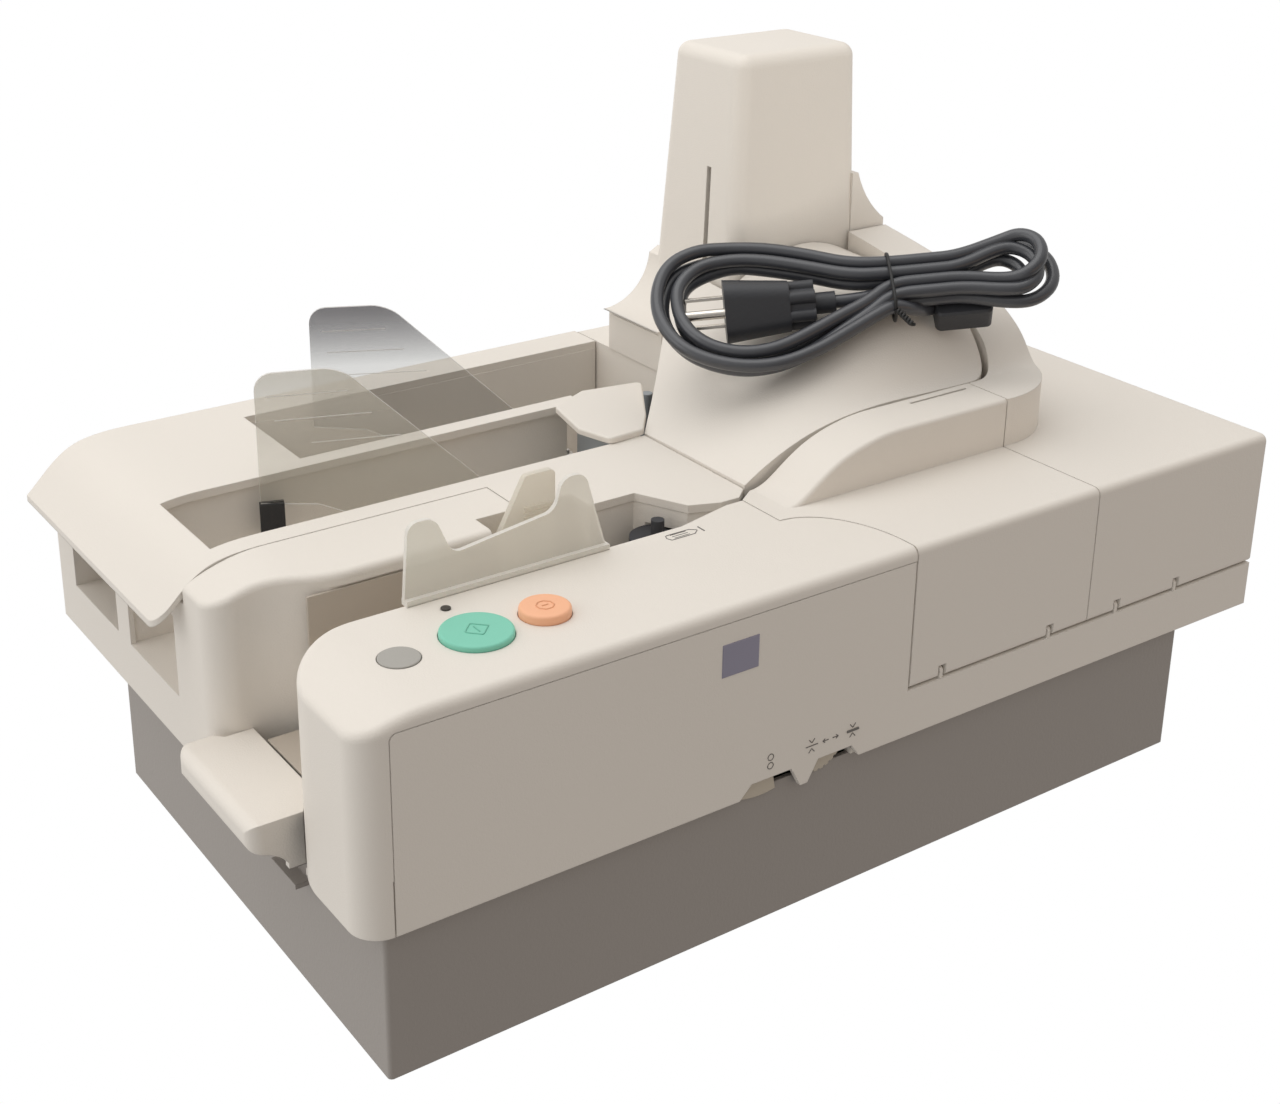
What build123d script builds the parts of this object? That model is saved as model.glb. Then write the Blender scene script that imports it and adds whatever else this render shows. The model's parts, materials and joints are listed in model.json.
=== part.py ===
from build123d import *
from math import asin, atan2, degrees, hypot, sqrt
import os

os.makedirs("parts", exist_ok=True)

# ---------------------------------------------------------------- driving sizes (mm)
# Whole machine
body_length = 490.0        # plastic housing, left end to right end
body_depth = 312.0         # front face to back face
foot_height = 8.0
base_height = 66.0         # grey steel base, up to the underside of the housing
tray_height = 24.0         # lower housing, up to the level that documents run on
track_depth = 66.0         # document track up to the deck
ridge_rise = 24.0          # front ridge of the covers above the deck
tower_rise = 166.0         # tower top above the deck
shelf_reach = 17.0         # feeder shelf past the left end
lip_reach = 12.5           # stacker lip past the left end
wall = 2.5                 # plastic housings and covers
sheet = 2.0                # folded steel
seam = 0.6                 # visible joint lines between covers
slip = 0.3                 # running clearance
fit = 0.05                 # shaft in its hole, radial

# Base
base_inset_left = 10.0
base_inset_right = 45.0
base_inset_front = 4.0
base_inset_back = 50.0
foot_radius = 9.0
foot_inset = 24.0

# Operator unit at the front left
unit_length = 262.0        # left end to the front cover
unit_depth = 75.0          # front face to the feeder slot
unit_end_radius = 37.0     # big corner at the left back
unit_front_radius = 12.5
unit_step = 31.0           # the unit is this much shorter behind the cover's corner
step_depth = 53.0          # where that step lies behind the front face
step_foot = 8.0            # where the step's curve leaves the cover's side
roll_radius = 72.0         # the deck rolls down to the left end on this radius
unit_roll_start = 30.0
edge_round = 5.0

# Push buttons: station from the left end, radius, height above the deck
button_row = 37.0          # their distance from the front face
jog_station, jog_radius, jog_stand = 37.2, 8.2, 0.5
start_station, start_radius, start_stand = 70.4, 14.6, 2.2
stop_station, stop_radius, stop_stand = 101.0, 10.4, 3.6
button_travel = 1.6
lamp_station, lamp_row, lamp_radius = 71.0, 61.5, 2.0

# Gap lever and thickness dial behind the front plate: (station, height) of the axle
lever_at, lever_radius = (184.0, 111.0), 40.0
dial_at, dial_radius = (214.0, 87.0), 15.0
control_rows = (2.8, 3.7)  # their thin rims run between the front plate and the base
control_hub_row = 7.4
finger_notch = 6.0         # the front plate is cut away this high for them

# Feeder
feeder_width = 37.5        # operator unit to the feeder back wall
mouth_flare = 13.0         # the mouth is this much wider at the left end
metal_start = 36.0         # where the steel wall lining begins
notch_start, notch_end = 123.0, 172.0
notch_depth = 14.0
throat_end = 196.0
slit_row = 80.8            # document line past the throat
path_row = 87.3            # document line in the front transport
path_gap = 3.0
turn_radius = 18.0         # document line round the right end
turn_station = 396.0       # document line down the right end
back_row = 228.0           # document line in the rear transport

# Covers
cover_split = 373.0        # front cover to corner cover
ridge_row = 60.0           # outer wall of the ridge
rim_width = 26.0           # ridge and rim, outer wall to the document line
hinge_drop = 2.6           # hinge line behind the front face, and the roll's radius
pin_radius = 1.0
hinge_lift = 1.6           # hinge line above the document track
knuckle_width = 2.0
front_knuckles = (280.5, 347.3)
corner_knuckles = (392.0, 433.3)

# Stacker
platform_split = 144.4     # platform cover to deck
platform_back = 153.0
deck_end = 239.5           # deck to island cover
pocket_front = 165.0
pocket_width = 57.0
divider_width = 7.0
pocket_two_width = 62.0
pocket_one_left = 18.0
pocket_two_left = 90.0
pocket_two_right = 297.0
stacker_roll_start = 50.0
window_height = 38.0
plate_thickness = 1.4
plate_reach = 134.0
plate_top = 51.0           # stacking plates above the deck

# Tower
tower_left, tower_right = 320.0, 408.0
tower_front, tower_back = 204.0, 278.0
tower_taper_side = 7.0
tower_taper_front = 3.0
tower_taper_back = 14.0
tower_wall = 3.0
slot_width = 3.4
slot_rise = 107.0          # top of the tall-document slot above the deck

# Worked-out levels and places
body_bottom = foot_height + base_height
track_z = body_bottom + tray_height
deck_z = track_z + track_depth
ridge_z = deck_z + ridge_rise
tower_z = deck_z + tower_rise
chassis_thickness = 3.0
chassis_z = track_z - chassis_thickness
left_x = (shelf_reach - body_length) / 2
front_y = -body_depth / 2
wall_row = unit_depth + feeder_width
divider_row = pocket_front + pocket_width
pocket_two_row = divider_row + divider_width
pocket_two_back = pocket_two_row + pocket_two_width
base_right = body_length - base_inset_right
base_back = body_depth - base_inset_back
hinge_z = track_z + hinge_lift
cover_bottom = hinge_z - hinge_drop
strip_top = cover_bottom - seam


# ---------------------------------------------------------------- working planes
def plan_at(height):
    """Seen from above: x from the left end, y from the front face."""
    return Plane(origin=(left_x, front_y, height))


def face_at(row):
    """Seen from the front, standing this far behind the front face."""
    return Plane(origin=(left_x, front_y + row, 0), x_dir=(1, 0, 0), z_dir=(0, -1, 0))


def side_at(station):
    """Seen from the right, this far from the left end; x is the distance back."""
    return Plane(origin=(left_x + station, front_y, 0), x_dir=(0, 1, 0), z_dir=(1, 0, 0))


# ---------------------------------------------------------------- shared shapes
def block(stations, rows, heights, mode=Mode.ADD, corner=0.0):
    """A box between two stations, two rows and two heights."""
    width = stations[1] - stations[0]
    depth = rows[1] - rows[0]
    with BuildSketch(plan_at(heights[0])) as outline:
        with Locations(((stations[0] + stations[1]) / 2, (rows[0] + rows[1]) / 2)):
            if corner > 0:
                RectangleRounded(width, depth, corner)
            else:
                Rectangle(width, depth)
    extrude(outline.sketch, amount=heights[1] - heights[0], mode=mode)


def post(station, row, radius, heights, mode=Mode.ADD):
    """A round upright between two heights."""
    with BuildSketch(plan_at(heights[0])) as outline:
        with Locations((station, row)):
            Circle(radius)
    extrude(outline.sketch, amount=heights[1] - heights[0], mode=mode)


def rod(start, end, radius, mode=Mode.ADD):
    """A round bar between two points given as (station, row, height)."""
    first = Vector(left_x + start[0], front_y + start[1], start[2])
    last = Vector(left_x + end[0], front_y + end[1], end[2])
    with BuildSketch(Plane(origin=first, z_dir=last - first)) as outline:
        Circle(radius)
    extrude(outline.sketch, amount=(last - first).length, mode=mode)


def finish(part, name):
    part.label = name
    export_step(part, f"parts/{name}.step")


def slab_front(points, rows, mode=Mode.ADD):
    """A front view outline given as (station, height), between two rows."""
    with BuildSketch(face_at(rows[1])) as outline:
        with BuildLine():
            Polyline(*points, close=True)
        make_face()
    extrude(outline.sketch, amount=rows[1] - rows[0], mode=mode)


def slab_plan(points, heights, mode=Mode.ADD):
    """A plan outline given as (station, row), between two heights."""
    with BuildSketch(plan_at(heights[0])) as outline:
        with BuildLine():
            Polyline(*points, close=True)
        make_face()
    extrude(outline.sketch, amount=heights[1] - heights[0], mode=mode)


def area(stations, rows, mode=Mode.ADD):
    """A rectangle in a plan sketch."""
    with Locations(((stations[0] + stations[1]) / 2, (rows[0] + rows[1]) / 2)):
        Rectangle(stations[1] - stations[0], rows[1] - rows[0], mode=mode)


def rolled_block(roll_start, top, bottom, left, right):
    """Front view of everything below a top that rolls down to the left of roll_start."""
    turn = degrees(asin((roll_start - left) / roll_radius))
    with BuildSketch(face_at(0)) as body:
        with BuildLine():
            arc = CenterArc((roll_start, top - roll_radius), roll_radius, 90, turn)
            Polyline(arc @ 1, (left, bottom), (right, bottom), (right, top), arc @ 0)
        make_face()
    return body.sketch


def edges_near(part, height, reach=0.6):
    """Edges lying wholly at about this height."""
    found = []
    for edge in part.edges():
        box = edge.bounding_box()
        if abs(box.min.Z - height) < reach and abs(box.max.Z - height) < reach:
            found.append(edge)
    return ShapeList(found)


# ---------------------------------------------------------------- base
with BuildPart() as base_pan:
    block((base_inset_left, base_right), (base_inset_front, base_back), (foot_height, body_bottom), corner=2)
    block((base_inset_left + sheet, base_right - sheet), (base_inset_front + sheet, base_back - sheet),
          (foot_height + sheet, body_bottom), Mode.SUBTRACT)
    inlet_station, inlet_z = base_right - 45.0, foot_height + 30.0
    inlet_width, inlet_height = 28.0, 22.0
    block((inlet_station - inlet_width / 2, inlet_station + inlet_width / 2),
          (base_back - 2 * sheet, base_back + sheet),
          (inlet_z - inlet_height / 2, inlet_z + inlet_height / 2), Mode.SUBTRACT)
    switch_station = inlet_station - 32.0
    switch_width, switch_height = 14.0, 20.0
    block((switch_station - switch_width / 2, switch_station + switch_width / 2),
          (base_back - 2 * sheet, base_back + sheet),
          (inlet_z - switch_height / 2, inlet_z + switch_height / 2), Mode.SUBTRACT)
    port_station = base_inset_left + 70.0
    port_width, port_height = 60.0, 14.0
    block((port_station - port_width / 2, port_station + port_width / 2),
          (base_back - 2 * sheet, base_back + sheet),
          (inlet_z - port_height / 2, inlet_z + port_height / 2), Mode.SUBTRACT)
    fan_station, fan_size = (base_inset_left + base_right) / 2 + 20.0, 50.0
    vent_count, vent_pitch, vent_slot = 9, 5.0, 2.4
    with BuildSketch(face_at(base_back + sheet)) as vents:
        with Locations((fan_station, inlet_z)):
            with GridLocations(vent_pitch, 0, vent_count, 1):
                SlotOverall(fan_size * 0.72, vent_slot, rotation=90)
    extrude(vents.sketch, amount=-3 * sheet, mode=Mode.SUBTRACT)
finish(base_pan.part, "base_pan")

with BuildPart() as feet:
    for station in (base_inset_left + foot_inset, base_right - foot_inset):
        for row in (base_inset_front + foot_inset, base_back - foot_inset):
            post(station, row, foot_radius, (0, foot_height))
    chamfer(feet.faces().sort_by(Axis.Z)[:4].edges(), 1.2)
finish(feet.part, "feet")

with BuildPart() as power_supply:
    supply_right = base_right - 14.0
    supply_left = supply_right - 120.0
    supply_rows = (base_inset_front + 30.0, base_back - 60.0)
    block((supply_left, supply_right), supply_rows, (foot_height + sheet, foot_height + sheet + 38))
    with BuildSketch(plan_at(foot_height + sheet + 38)) as slots:
        with Locations(((supply_left + supply_right) / 2, sum(supply_rows) / 2)):
            with GridLocations(9, 0, 10, 1):
                SlotOverall(80, 3, rotation=90)
    extrude(slots.sketch, amount=-2, mode=Mode.SUBTRACT)
finish(power_supply.part, "power_supply")

with BuildPart() as main_board:
    board_left = base_inset_left + 25.0
    board_right = supply_left - 15.0
    board_rows = (base_inset_front + 25.0, base_back - 25.0)
    board_z = foot_height + sheet + 6.0
    block((board_left, board_right), board_rows, (board_z, board_z + 1.6))
    for station in (board_left + 6, board_right - 6):
        for row in (board_rows[0] + 6, board_rows[1] - 6):
            post(station, row, 3, (foot_height + sheet, board_z))
    for chip in range(4):
        chip_left = board_left + 24 + 46 * chip
        block((chip_left, chip_left + 24), (board_rows[0] + 50, board_rows[0] + 74), (board_z + 1.6, board_z + 4))
finish(main_board.part, "main_board")

with BuildPart() as power_inlet:
    block((inlet_station - inlet_width / 2 + slip, inlet_station + inlet_width / 2 - slip),
          (base_back - 22, base_back),
          (inlet_z - inlet_height / 2 + slip, inlet_z + inlet_height / 2 - slip))
    block((inlet_station - inlet_width / 2 - 3, inlet_station + inlet_width / 2 + 3), (base_back, base_back + 2),
          (inlet_z - inlet_height / 2 - 2, inlet_z + inlet_height / 2 + 2), corner=0.8)
    with BuildSketch(face_at(base_back + 2)) as socket:
        with Locations((inlet_station, inlet_z)):
            RectangleRounded(22, 16, 3)
    extrude(socket.sketch, amount=16, mode=Mode.SUBTRACT)
    for pin, lift in ((-7, -2), (7, -2), (0, 2.5)):
        block((inlet_station + pin - 1, inlet_station + pin + 1), (base_back - 15, base_back - 1),
              (inlet_z + lift - 2, inlet_z + lift + 2))
finish(power_inlet.part, "power_inlet")

with BuildPart() as switch_frame:
    block((switch_station - switch_width / 2 + slip, switch_station + switch_width / 2 - slip),
          (base_back - 14, base_back),
          (inlet_z - switch_height / 2 + slip, inlet_z + switch_height / 2 - slip))
    block((switch_station - switch_width / 2 - 1.5, switch_station + switch_width / 2 + 1.5),
          (base_back, base_back + 1.5),
          (inlet_z - switch_height / 2 - 1.5, inlet_z + switch_height / 2 + 1.5))
    block((switch_station - switch_width / 2 + 2, switch_station + switch_width / 2 - 2),
          (base_back - 10, base_back + 1.5),
          (inlet_z - switch_height / 2 + 2, inlet_z + switch_height / 2 - 2), Mode.SUBTRACT)
finish(switch_frame.part, "switch_frame")

rocker_pin_row = base_back - 6.0
with BuildPart() as power_rocker:
    with BuildSketch(side_at(switch_station - switch_width / 2 + 2 + slip)) as rocker_side:
        with BuildLine():
            Polyline((rocker_pin_row - 2, inlet_z), (rocker_pin_row + 6.5, inlet_z - 6.5),
                     (rocker_pin_row + 8.5, inlet_z - 5.5), (rocker_pin_row + 6.2, inlet_z),
                     (rocker_pin_row + 8.5, inlet_z + 5.5), (rocker_pin_row + 6.5, inlet_z + 6.5),
                     (rocker_pin_row - 2, inlet_z))
        make_face()
    extrude(rocker_side.sketch, amount=switch_width - 4 - 2 * slip)
finish(power_rocker.part, "power_rocker")

with BuildPart() as interface_ports:
    block((port_station - port_width / 2 + slip, port_station + port_width / 2 - slip),
          (base_back - 16, base_back + 0.8), (inlet_z - port_height / 2 + slip, inlet_z + port_height / 2 - slip))
    block((port_station - 24, port_station + 4), (base_back - 8, base_back + 1), (inlet_z - 4, inlet_z + 4),
          Mode.SUBTRACT)
    block((port_station + 10, port_station + 22), (base_back - 8, base_back + 1), (inlet_z - 5, inlet_z + 5),
          Mode.SUBTRACT)
finish(interface_ports.part, "interface_ports")

with BuildPart() as fan_frame:
    fan_rows = (base_back - sheet - 15.0, base_back - sheet)
    fan_bottom, fan_top = inlet_z - fan_size / 2 + 0.5, inlet_z + fan_size / 2 - 0.5
    block((fan_station - fan_size / 2, fan_station + fan_size / 2), fan_rows, (fan_bottom, fan_top))
    rod((fan_station, fan_rows[0] - 1, inlet_z), (fan_station, fan_rows[1] + 1, inlet_z), fan_size / 2 - 2,
        Mode.SUBTRACT)
    rod((fan_station, fan_rows[0], inlet_z), (fan_station, fan_rows[0] + 2, inlet_z), 9)
    rod((fan_station, fan_rows[0], inlet_z), (fan_station, fan_rows[1] - 3, inlet_z), 1.5)
    for arm in (-1, 1):
        block((fan_station - 1.5, fan_station + 1.5), (fan_rows[0], fan_rows[0] + 2),
              sorted((inlet_z + arm * 8, inlet_z + arm * (fan_size / 2 - 1))))
finish(fan_frame.part, "fan_frame")

with BuildPart() as fan_rotor:
    hub_rows = (fan_rows[0] + 2 + slip, fan_rows[1] - 2)
    rod((fan_station, hub_rows[0], inlet_z), (fan_station, hub_rows[1], inlet_z), 9)
    blade_count = 7
    for blade in range(blade_count):
        blade_plane = Plane(origin=(left_x + fan_station, front_y + sum(hub_rows) / 2, inlet_z),
                            x_dir=(1, 0, 0), z_dir=(0, -1, 0)).rotated((0, 360 / blade_count * blade, 0))
        with BuildSketch(blade_plane) as blade_foot:
            with Locations((13.5, 0)):
                Rectangle(12, 2.2)
        extrude(blade_foot.sketch, amount=4, both=True)
    rod((fan_station, hub_rows[0] - 1, inlet_z), (fan_station, fan_rows[1] - 3 + slip, inlet_z), 1.5 + fit,
        Mode.SUBTRACT)
finish(fan_rotor.part, "fan_rotor")

# ---------------------------------------------------------------- shafts: station, row, radius of the roller
pick_at, pick_radius = (165.0, 66.0), 12.0
feed_at, feed_radius = (205.0, 69.5), 11.0
retard_at, retard_radius = (196.0, 94.0), 12.5
drive_at, drive_radius = (270.0, 96.0), 8.0
front_drum_at = (378.0, path_row + turn_radius)
rear_drum_at = (378.0, back_row - turn_radius)
drum_radius = 16.3
motor_at, motor_radius = (283.0, 152.0), 22.0
shaft_radius = 3.0
roller_low, roller_high = 110.0, 126.0
pulley_low, pulley_high = 82.0, 90.0
pulley_radius = 9.0
motor_pulley_radius = 6.0
driven_shafts = (pick_at, feed_at, retard_at, drive_at, front_drum_at, rear_drum_at)

# ---------------------------------------------------------------- lower housing
mouth_row = wall_row + mouth_flare
mouth_radius = 12.0
flare_end = 56.0
shelf_thickness = 12.5
shelf_bottom = track_z - shelf_thickness
floor_thickness = 3.0
cover_thickness = 4.0
skirt_bottom = deck_z - cover_thickness   # the top covers rest on the walls at this height
window_top = track_z + window_height
platform_roll_start = metal_start


def platform_outline(inset, right):
    """Plan of the platform, or of its hollow: rounded left end, then the flared feeder wall."""
    front, back = wall_row + inset, platform_back - inset
    with BuildSketch(plan_at(body_bottom)) as plan:
        with BuildLine():
            corner = CenterArc((mouth_radius, mouth_row + mouth_radius), mouth_radius - inset, 180, 90)
            flare = Spline(corner @ 1, (flare_end, front), tangents=((1, 0), (1, 0)))
            Polyline(flare @ 1, (right - inset, front), (right - inset, back), (inset, back), corner @ 0)
        make_face()
    return plan.sketch


# front view of what lies below the stacker's top, a little under its rolled left end
under_stacker = ((0, body_bottom), (0, window_top + 11), (8, window_top + 17), (16, skirt_bottom - 3.6),
                 (26, skirt_bottom - 1.2), (50, skirt_bottom), (body_length, skirt_bottom),
                 (body_length, body_bottom))

with BuildPart() as platform_hollow:
    extrude(platform_outline(wall, platform_split), amount=track_depth + tray_height)
    extrude(rolled_block(platform_roll_start, deck_z - wall, body_bottom, -lip_reach, body_length),
            amount=-body_depth, mode=Mode.INTERSECT)
    # the walls of the pusher's notch stay
    block((notch_start - wall, platform_split + 1), (wall_row - 1, wall_row + notch_depth + wall),
          (body_bottom, deck_z + 1), Mode.SUBTRACT)

with BuildPart() as pocket_walls:
    block((0, wall), (platform_back - 1, body_depth), (body_bottom, deck_z))
    block((0, pocket_two_right - 0.5), (body_depth - wall, body_depth), (body_bottom, deck_z))
    block((0, deck_end - 4), (pocket_front - wall, pocket_front), (body_bottom, deck_z))
    block((0, deck_end - 7), (divider_row, pocket_two_row), (body_bottom, deck_z))
    block((0, pocket_two_right - 0.5), (pocket_two_back, pocket_two_back + wall), (body_bottom, deck_z))
    # pocket floor
    block((0, pocket_two_right - 0.5), (platform_back - 1, pocket_two_back + wall), (chassis_z, track_z))
    slab_front(under_stacker, (platform_back - 1, body_depth), Mode.INTERSECT)
    # end windows of the two pockets
    for rows in ((pocket_front + 1, divider_row - 1), (pocket_two_row + 7, pocket_two_back)):
        block((-1, wall + 8), rows, (track_z, window_top), Mode.SUBTRACT)

gate_station, gate_row, gate_post = 286.0, 228.0, 3.0
gate_tip = pocket_two_right - 0.4
plate_pin = 1.5
plate_one_hinge = (190.0, 172.0)
plate_two_hinge = (240.0, 233.5)

with BuildPart() as lower_housing:
    extrude(platform_outline(0, platform_split), amount=track_depth + tray_height)
    extrude(rolled_block(platform_roll_start, deck_z, body_bottom, -lip_reach, body_length),
            amount=-body_depth, mode=Mode.INTERSECT)
    front_top = [e for e in lower_housing.edges()
                 if e.center().Z > deck_z - 14 and e.center().Y < front_y + mouth_row + 6]
    fillet(front_top, 3.0)
    # notch for the pusher, and the shallow recess for the steel lining
    block((notch_start, platform_split + 1), (wall_row - 1, wall_row + notch_depth), (track_z, deck_z + 1),
          Mode.SUBTRACT)
    block((metal_start, notch_start), (wall_row - 1, wall_row + 1.2), (track_z, deck_z - 6), Mode.SUBTRACT)
    # floor and outer walls
    block((0, body_length), (unit_depth + 1, body_depth), (body_bottom, body_bottom + floor_thickness))
    block((unit_front_radius + slip, body_length), (wall + slip, unit_depth + 2),
          (body_bottom, body_bottom + floor_thickness))
    block((wall + slip, unit_front_radius + 1), (unit_front_radius + slip, step_depth),
          (body_bottom, body_bottom + floor_thickness))
    block((0, wall), (unit_depth + 1, mouth_row + mouth_radius), (body_bottom, shelf_bottom - slip))
    block((pocket_two_right - 1, body_length), (body_depth - wall, body_depth), (body_bottom, strip_top))
    block((body_length - wall, body_length), (wall + slip, body_depth), (body_bottom, strip_top))
    # room for the lever and the dial behind the front plate
    block((lever_at[0] - 22, dial_at[0] + dial_radius + 4), (wall, control_hub_row + 2),
          (body_bottom - 1, body_bottom + floor_thickness + 1), Mode.SUBTRACT)
    add(platform_hollow.part, mode=Mode.SUBTRACT)
    add(pocket_walls.part)
    post(gate_station, gate_row, gate_post + fit, (chassis_z - 1, track_z + 1), Mode.SUBTRACT)
    post(motor_at[0], motor_at[1], 10, (chassis_z - 1, track_z + 1), Mode.SUBTRACT)
finish(lower_housing.part, "lower_housing")

# ---------------------------------------------------------------- feeder
shelf_right = 15.2
shelf_front, shelf_back = 58.5, 129.0
shelf_deep = 75.0                  # underside of the shelf's thick inner end
floor_left, floor_right = 15.8, 190.0
liner_thickness = 1.0

with BuildPart() as feeder_shelf:
    with BuildSketch(face_at(shelf_back)) as shelf_profile:
        with BuildLine():
            nose = CenterArc((-shelf_reach + 5, track_z - 5), 5, 90, 90)
            under_nose = Line(nose @ 1, (-shelf_reach, shelf_bottom + 4))
            belly = Spline(under_nose @ 1, (-shelf_reach + 5, shelf_bottom - 0.5), (-seam, shelf_deep),
                           tangents=((0, -1), (0.35, -1)))
            Polyline(belly @ 1, (-seam, track_z), nose @ 0)
        make_face()
    extrude(shelf_profile.sketch, amount=shelf_back - shelf_front)
    block((-shelf_reach, shelf_right + 9), (shelf_front, shelf_back), (shelf_deep - 1, track_z), Mode.INTERSECT,
          corner=6)
    slab_plan(((-seam - 1, unit_depth + 1), (shelf_right, unit_depth + 1), (shelf_right, mouth_row - slip),
               (3, mouth_row - slip), (-seam - 1, shelf_back)), (shelf_bottom, track_z))
    slab_plan(((-seam - 1, shelf_front), (5.4, shelf_front), (7.2, 61.5), (10.6, 65), (15, 68.4),
               (15, unit_depth + 2), (-seam - 1, unit_depth + 2)), (shelf_bottom, track_z))
    slab_plan(((-seam - 1, shelf_front), (5.4, shelf_front), (7.2, 61.5), (-seam - 1, 61.5)), (shelf_deep, track_z))
finish(feeder_shelf.part, "feeder_shelf")

with BuildPart() as shelf_bracket:
    slab_front(((2, body_bottom - 12), (10, body_bottom - 12), (10, body_bottom),
                (3, body_bottom), (3, body_bottom - sheet), (10 - sheet, body_bottom - sheet),
                (10 - sheet, body_bottom - 10), (2, body_bottom - 10)), (62, 84))
finish(shelf_bracket.part, "shelf_bracket")

with BuildPart() as feeder_liner:
    block((floor_left, floor_right), (unit_depth + 1, wall_row - slip), (track_z, track_z + liner_thickness))
    block((metal_start + slip, notch_start - slip), (wall_row - slip, wall_row + liner_thickness),
          (track_z, deck_z - 7))
finish(feeder_liner.part, "feeder_liner")

# ---------------------------------------------------------------- chassis and rollers
with BuildPart() as chassis_plate:
    block((16, body_length - 5), (5, wall_row - 2), (chassis_z, track_z))
    block((platform_split + 1.5, pocket_two_right), (wall_row - 3, platform_back - 1.5), (chassis_z, track_z))
    block((pocket_two_right, body_length - 5), (wall_row - 3, body_depth - 6), (chassis_z, track_z))
    for station in (30, 140, 242, 470):
        for row in (12, 104):
            post(station, row, 5, (body_bottom + floor_thickness, chassis_z))
    for row in (180, 296):
        post(470, row, 5, (body_bottom + floor_thickness, chassis_z))
    for station, row in driven_shafts:
        post(station, row, shaft_radius + fit, (chassis_z - 1, track_z + 1), Mode.SUBTRACT)
    post(motor_at[0], motor_at[1], 10, (chassis_z - 1, track_z + 1), Mode.SUBTRACT)
finish(chassis_plate.part, "chassis_plate")


def roller(place, radius, low, high, top):
    """A roller fixed on its shaft, with the belt pulley under the chassis plate."""
    post(place[0], place[1], radius, (low, high))
    post(place[0], place[1], shaft_radius, (pulley_low, top))
    post(place[0], place[1], pulley_radius, (pulley_low, pulley_high))
    post(place[0], place[1], pulley_radius + 1, (pulley_low, pulley_low + 1))
    post(place[0], place[1], pulley_radius + 1, (pulley_high - 1, pulley_high))


with BuildPart() as pick_roller:
    roller(pick_at, pick_radius, roller_low, roller_high, roller_high + 16)
finish(pick_roller.part, "pick_roller")

with BuildPart() as feed_roller:
    roller(feed_at, feed_radius, roller_low, roller_high, roller_high + 16)
finish(feed_roller.part, "feed_roller")

with BuildPart() as retard_roller:
    roller(retard_at, retard_radius, track_z + 6, deck_z - 14, deck_z - 6)
finish(retard_roller.part, "retard_roller")

with BuildPart() as drive_roller:
    roller(drive_at, drive_radius, roller_low, deck_z - 14, deck_z - 8)
finish(drive_roller.part, "drive_roller")

with BuildPart() as front_drum:
    roller(front_drum_at, drum_radius, track_z + 6, deck_z - 12, deck_z - 6)
finish(front_drum.part, "front_drum")

with BuildPart() as rear_drum:
    roller(rear_drum_at, drum_radius, track_z + 6, deck_z - 12, deck_z - 6)
finish(rear_drum.part, "rear_drum")

motor_shaft = 2.5
with BuildPart() as drive_motor:
    post(motor_at[0], motor_at[1], motor_radius, (track_z, track_z + 46))
    post(motor_at[0], motor_at[1], 9.5, (chassis_z, track_z))
    post(motor_at[0], motor_at[1], 8, (track_z + 46, track_z + 49))
    post(motor_at[0], motor_at[1], motor_shaft, (pulley_low, chassis_z))
finish(drive_motor.part, "drive_motor")

with BuildPart() as motor_pulley:
    post(motor_at[0], motor_at[1], motor_pulley_radius, (pulley_low, pulley_high))
    post(motor_at[0], motor_at[1], 8, (pulley_low, pulley_low + 1))
    post(motor_at[0], motor_at[1], 8, (pulley_high - 1, pulley_high))
    post(motor_at[0], motor_at[1], motor_shaft + fit, (pulley_low - 1, pulley_high + 1), Mode.SUBTRACT)
finish(motor_pulley.part, "motor_pulley")

belt_thickness = 1.2
with BuildPart() as drive_belt:
    # the toothed belt runs outside all the pulleys, in one plane
    for grow, mode in ((belt_thickness + slip, Mode.ADD), (slip, Mode.SUBTRACT)):
        with BuildSketch(plan_at(pulley_low + 1.4)) as loop:
            for place in (pick_at, feed_at, retard_at, front_drum_at, rear_drum_at):
                with Locations(place):
                    Circle(pulley_radius + grow)
            with Locations(motor_at):
                Circle(motor_pulley_radius + grow)
            make_hull()
        extrude(loop.sketch, amount=pulley_high - pulley_low - 2.8, mode=mode)
finish(drive_belt.part, "drive_belt")

# ---------------------------------------------------------------- operator unit
unit_back_corner = (222.0, 79.0)   # the back wall swings out here to the document line
unit_right = unit_length - unit_step
plate_seam = 12.8                  # where the front plate begins
plate_top_z = deck_z - 6
plate_corner = 3.0


def operator_outline(inset, height):
    """Plan of the operator unit, or of its hollow."""
    left, front, back = inset, inset, unit_depth - inset
    with BuildSketch(plan_at(height)) as plan:
        with BuildLine():
            front_line = Line((unit_length - inset, front), (unit_front_radius, front))
            CenterArc((unit_front_radius, unit_front_radius), unit_front_radius - inset, 270, -90)
            Line((left, unit_front_radius), (left, unit_depth - unit_end_radius))
            CenterArc((unit_end_radius, unit_depth - unit_end_radius), unit_end_radius - inset, 180, -90)
            Polyline((unit_end_radius, back), (unit_back_corner[0] - 17, back),
                     (unit_back_corner[0], unit_back_corner[1] - inset),
                     (unit_right - inset, unit_back_corner[1] - inset), (unit_right - inset, step_depth - inset))
            EllipticalCenterArc((unit_right - inset, step_foot), unit_step, step_depth - step_foot - inset,
                                start_angle=0, arc_size=90)
            Line((unit_length - inset, step_foot), front_line @ 0)
        make_face()
    return plan.sketch


with BuildPart() as operator_hollow:
    extrude(operator_outline(wall, track_z), amount=track_depth)
    extrude(rolled_block(unit_roll_start, deck_z - wall, track_z, -lip_reach, body_length),
            amount=-body_depth, mode=Mode.INTERSECT)

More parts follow.
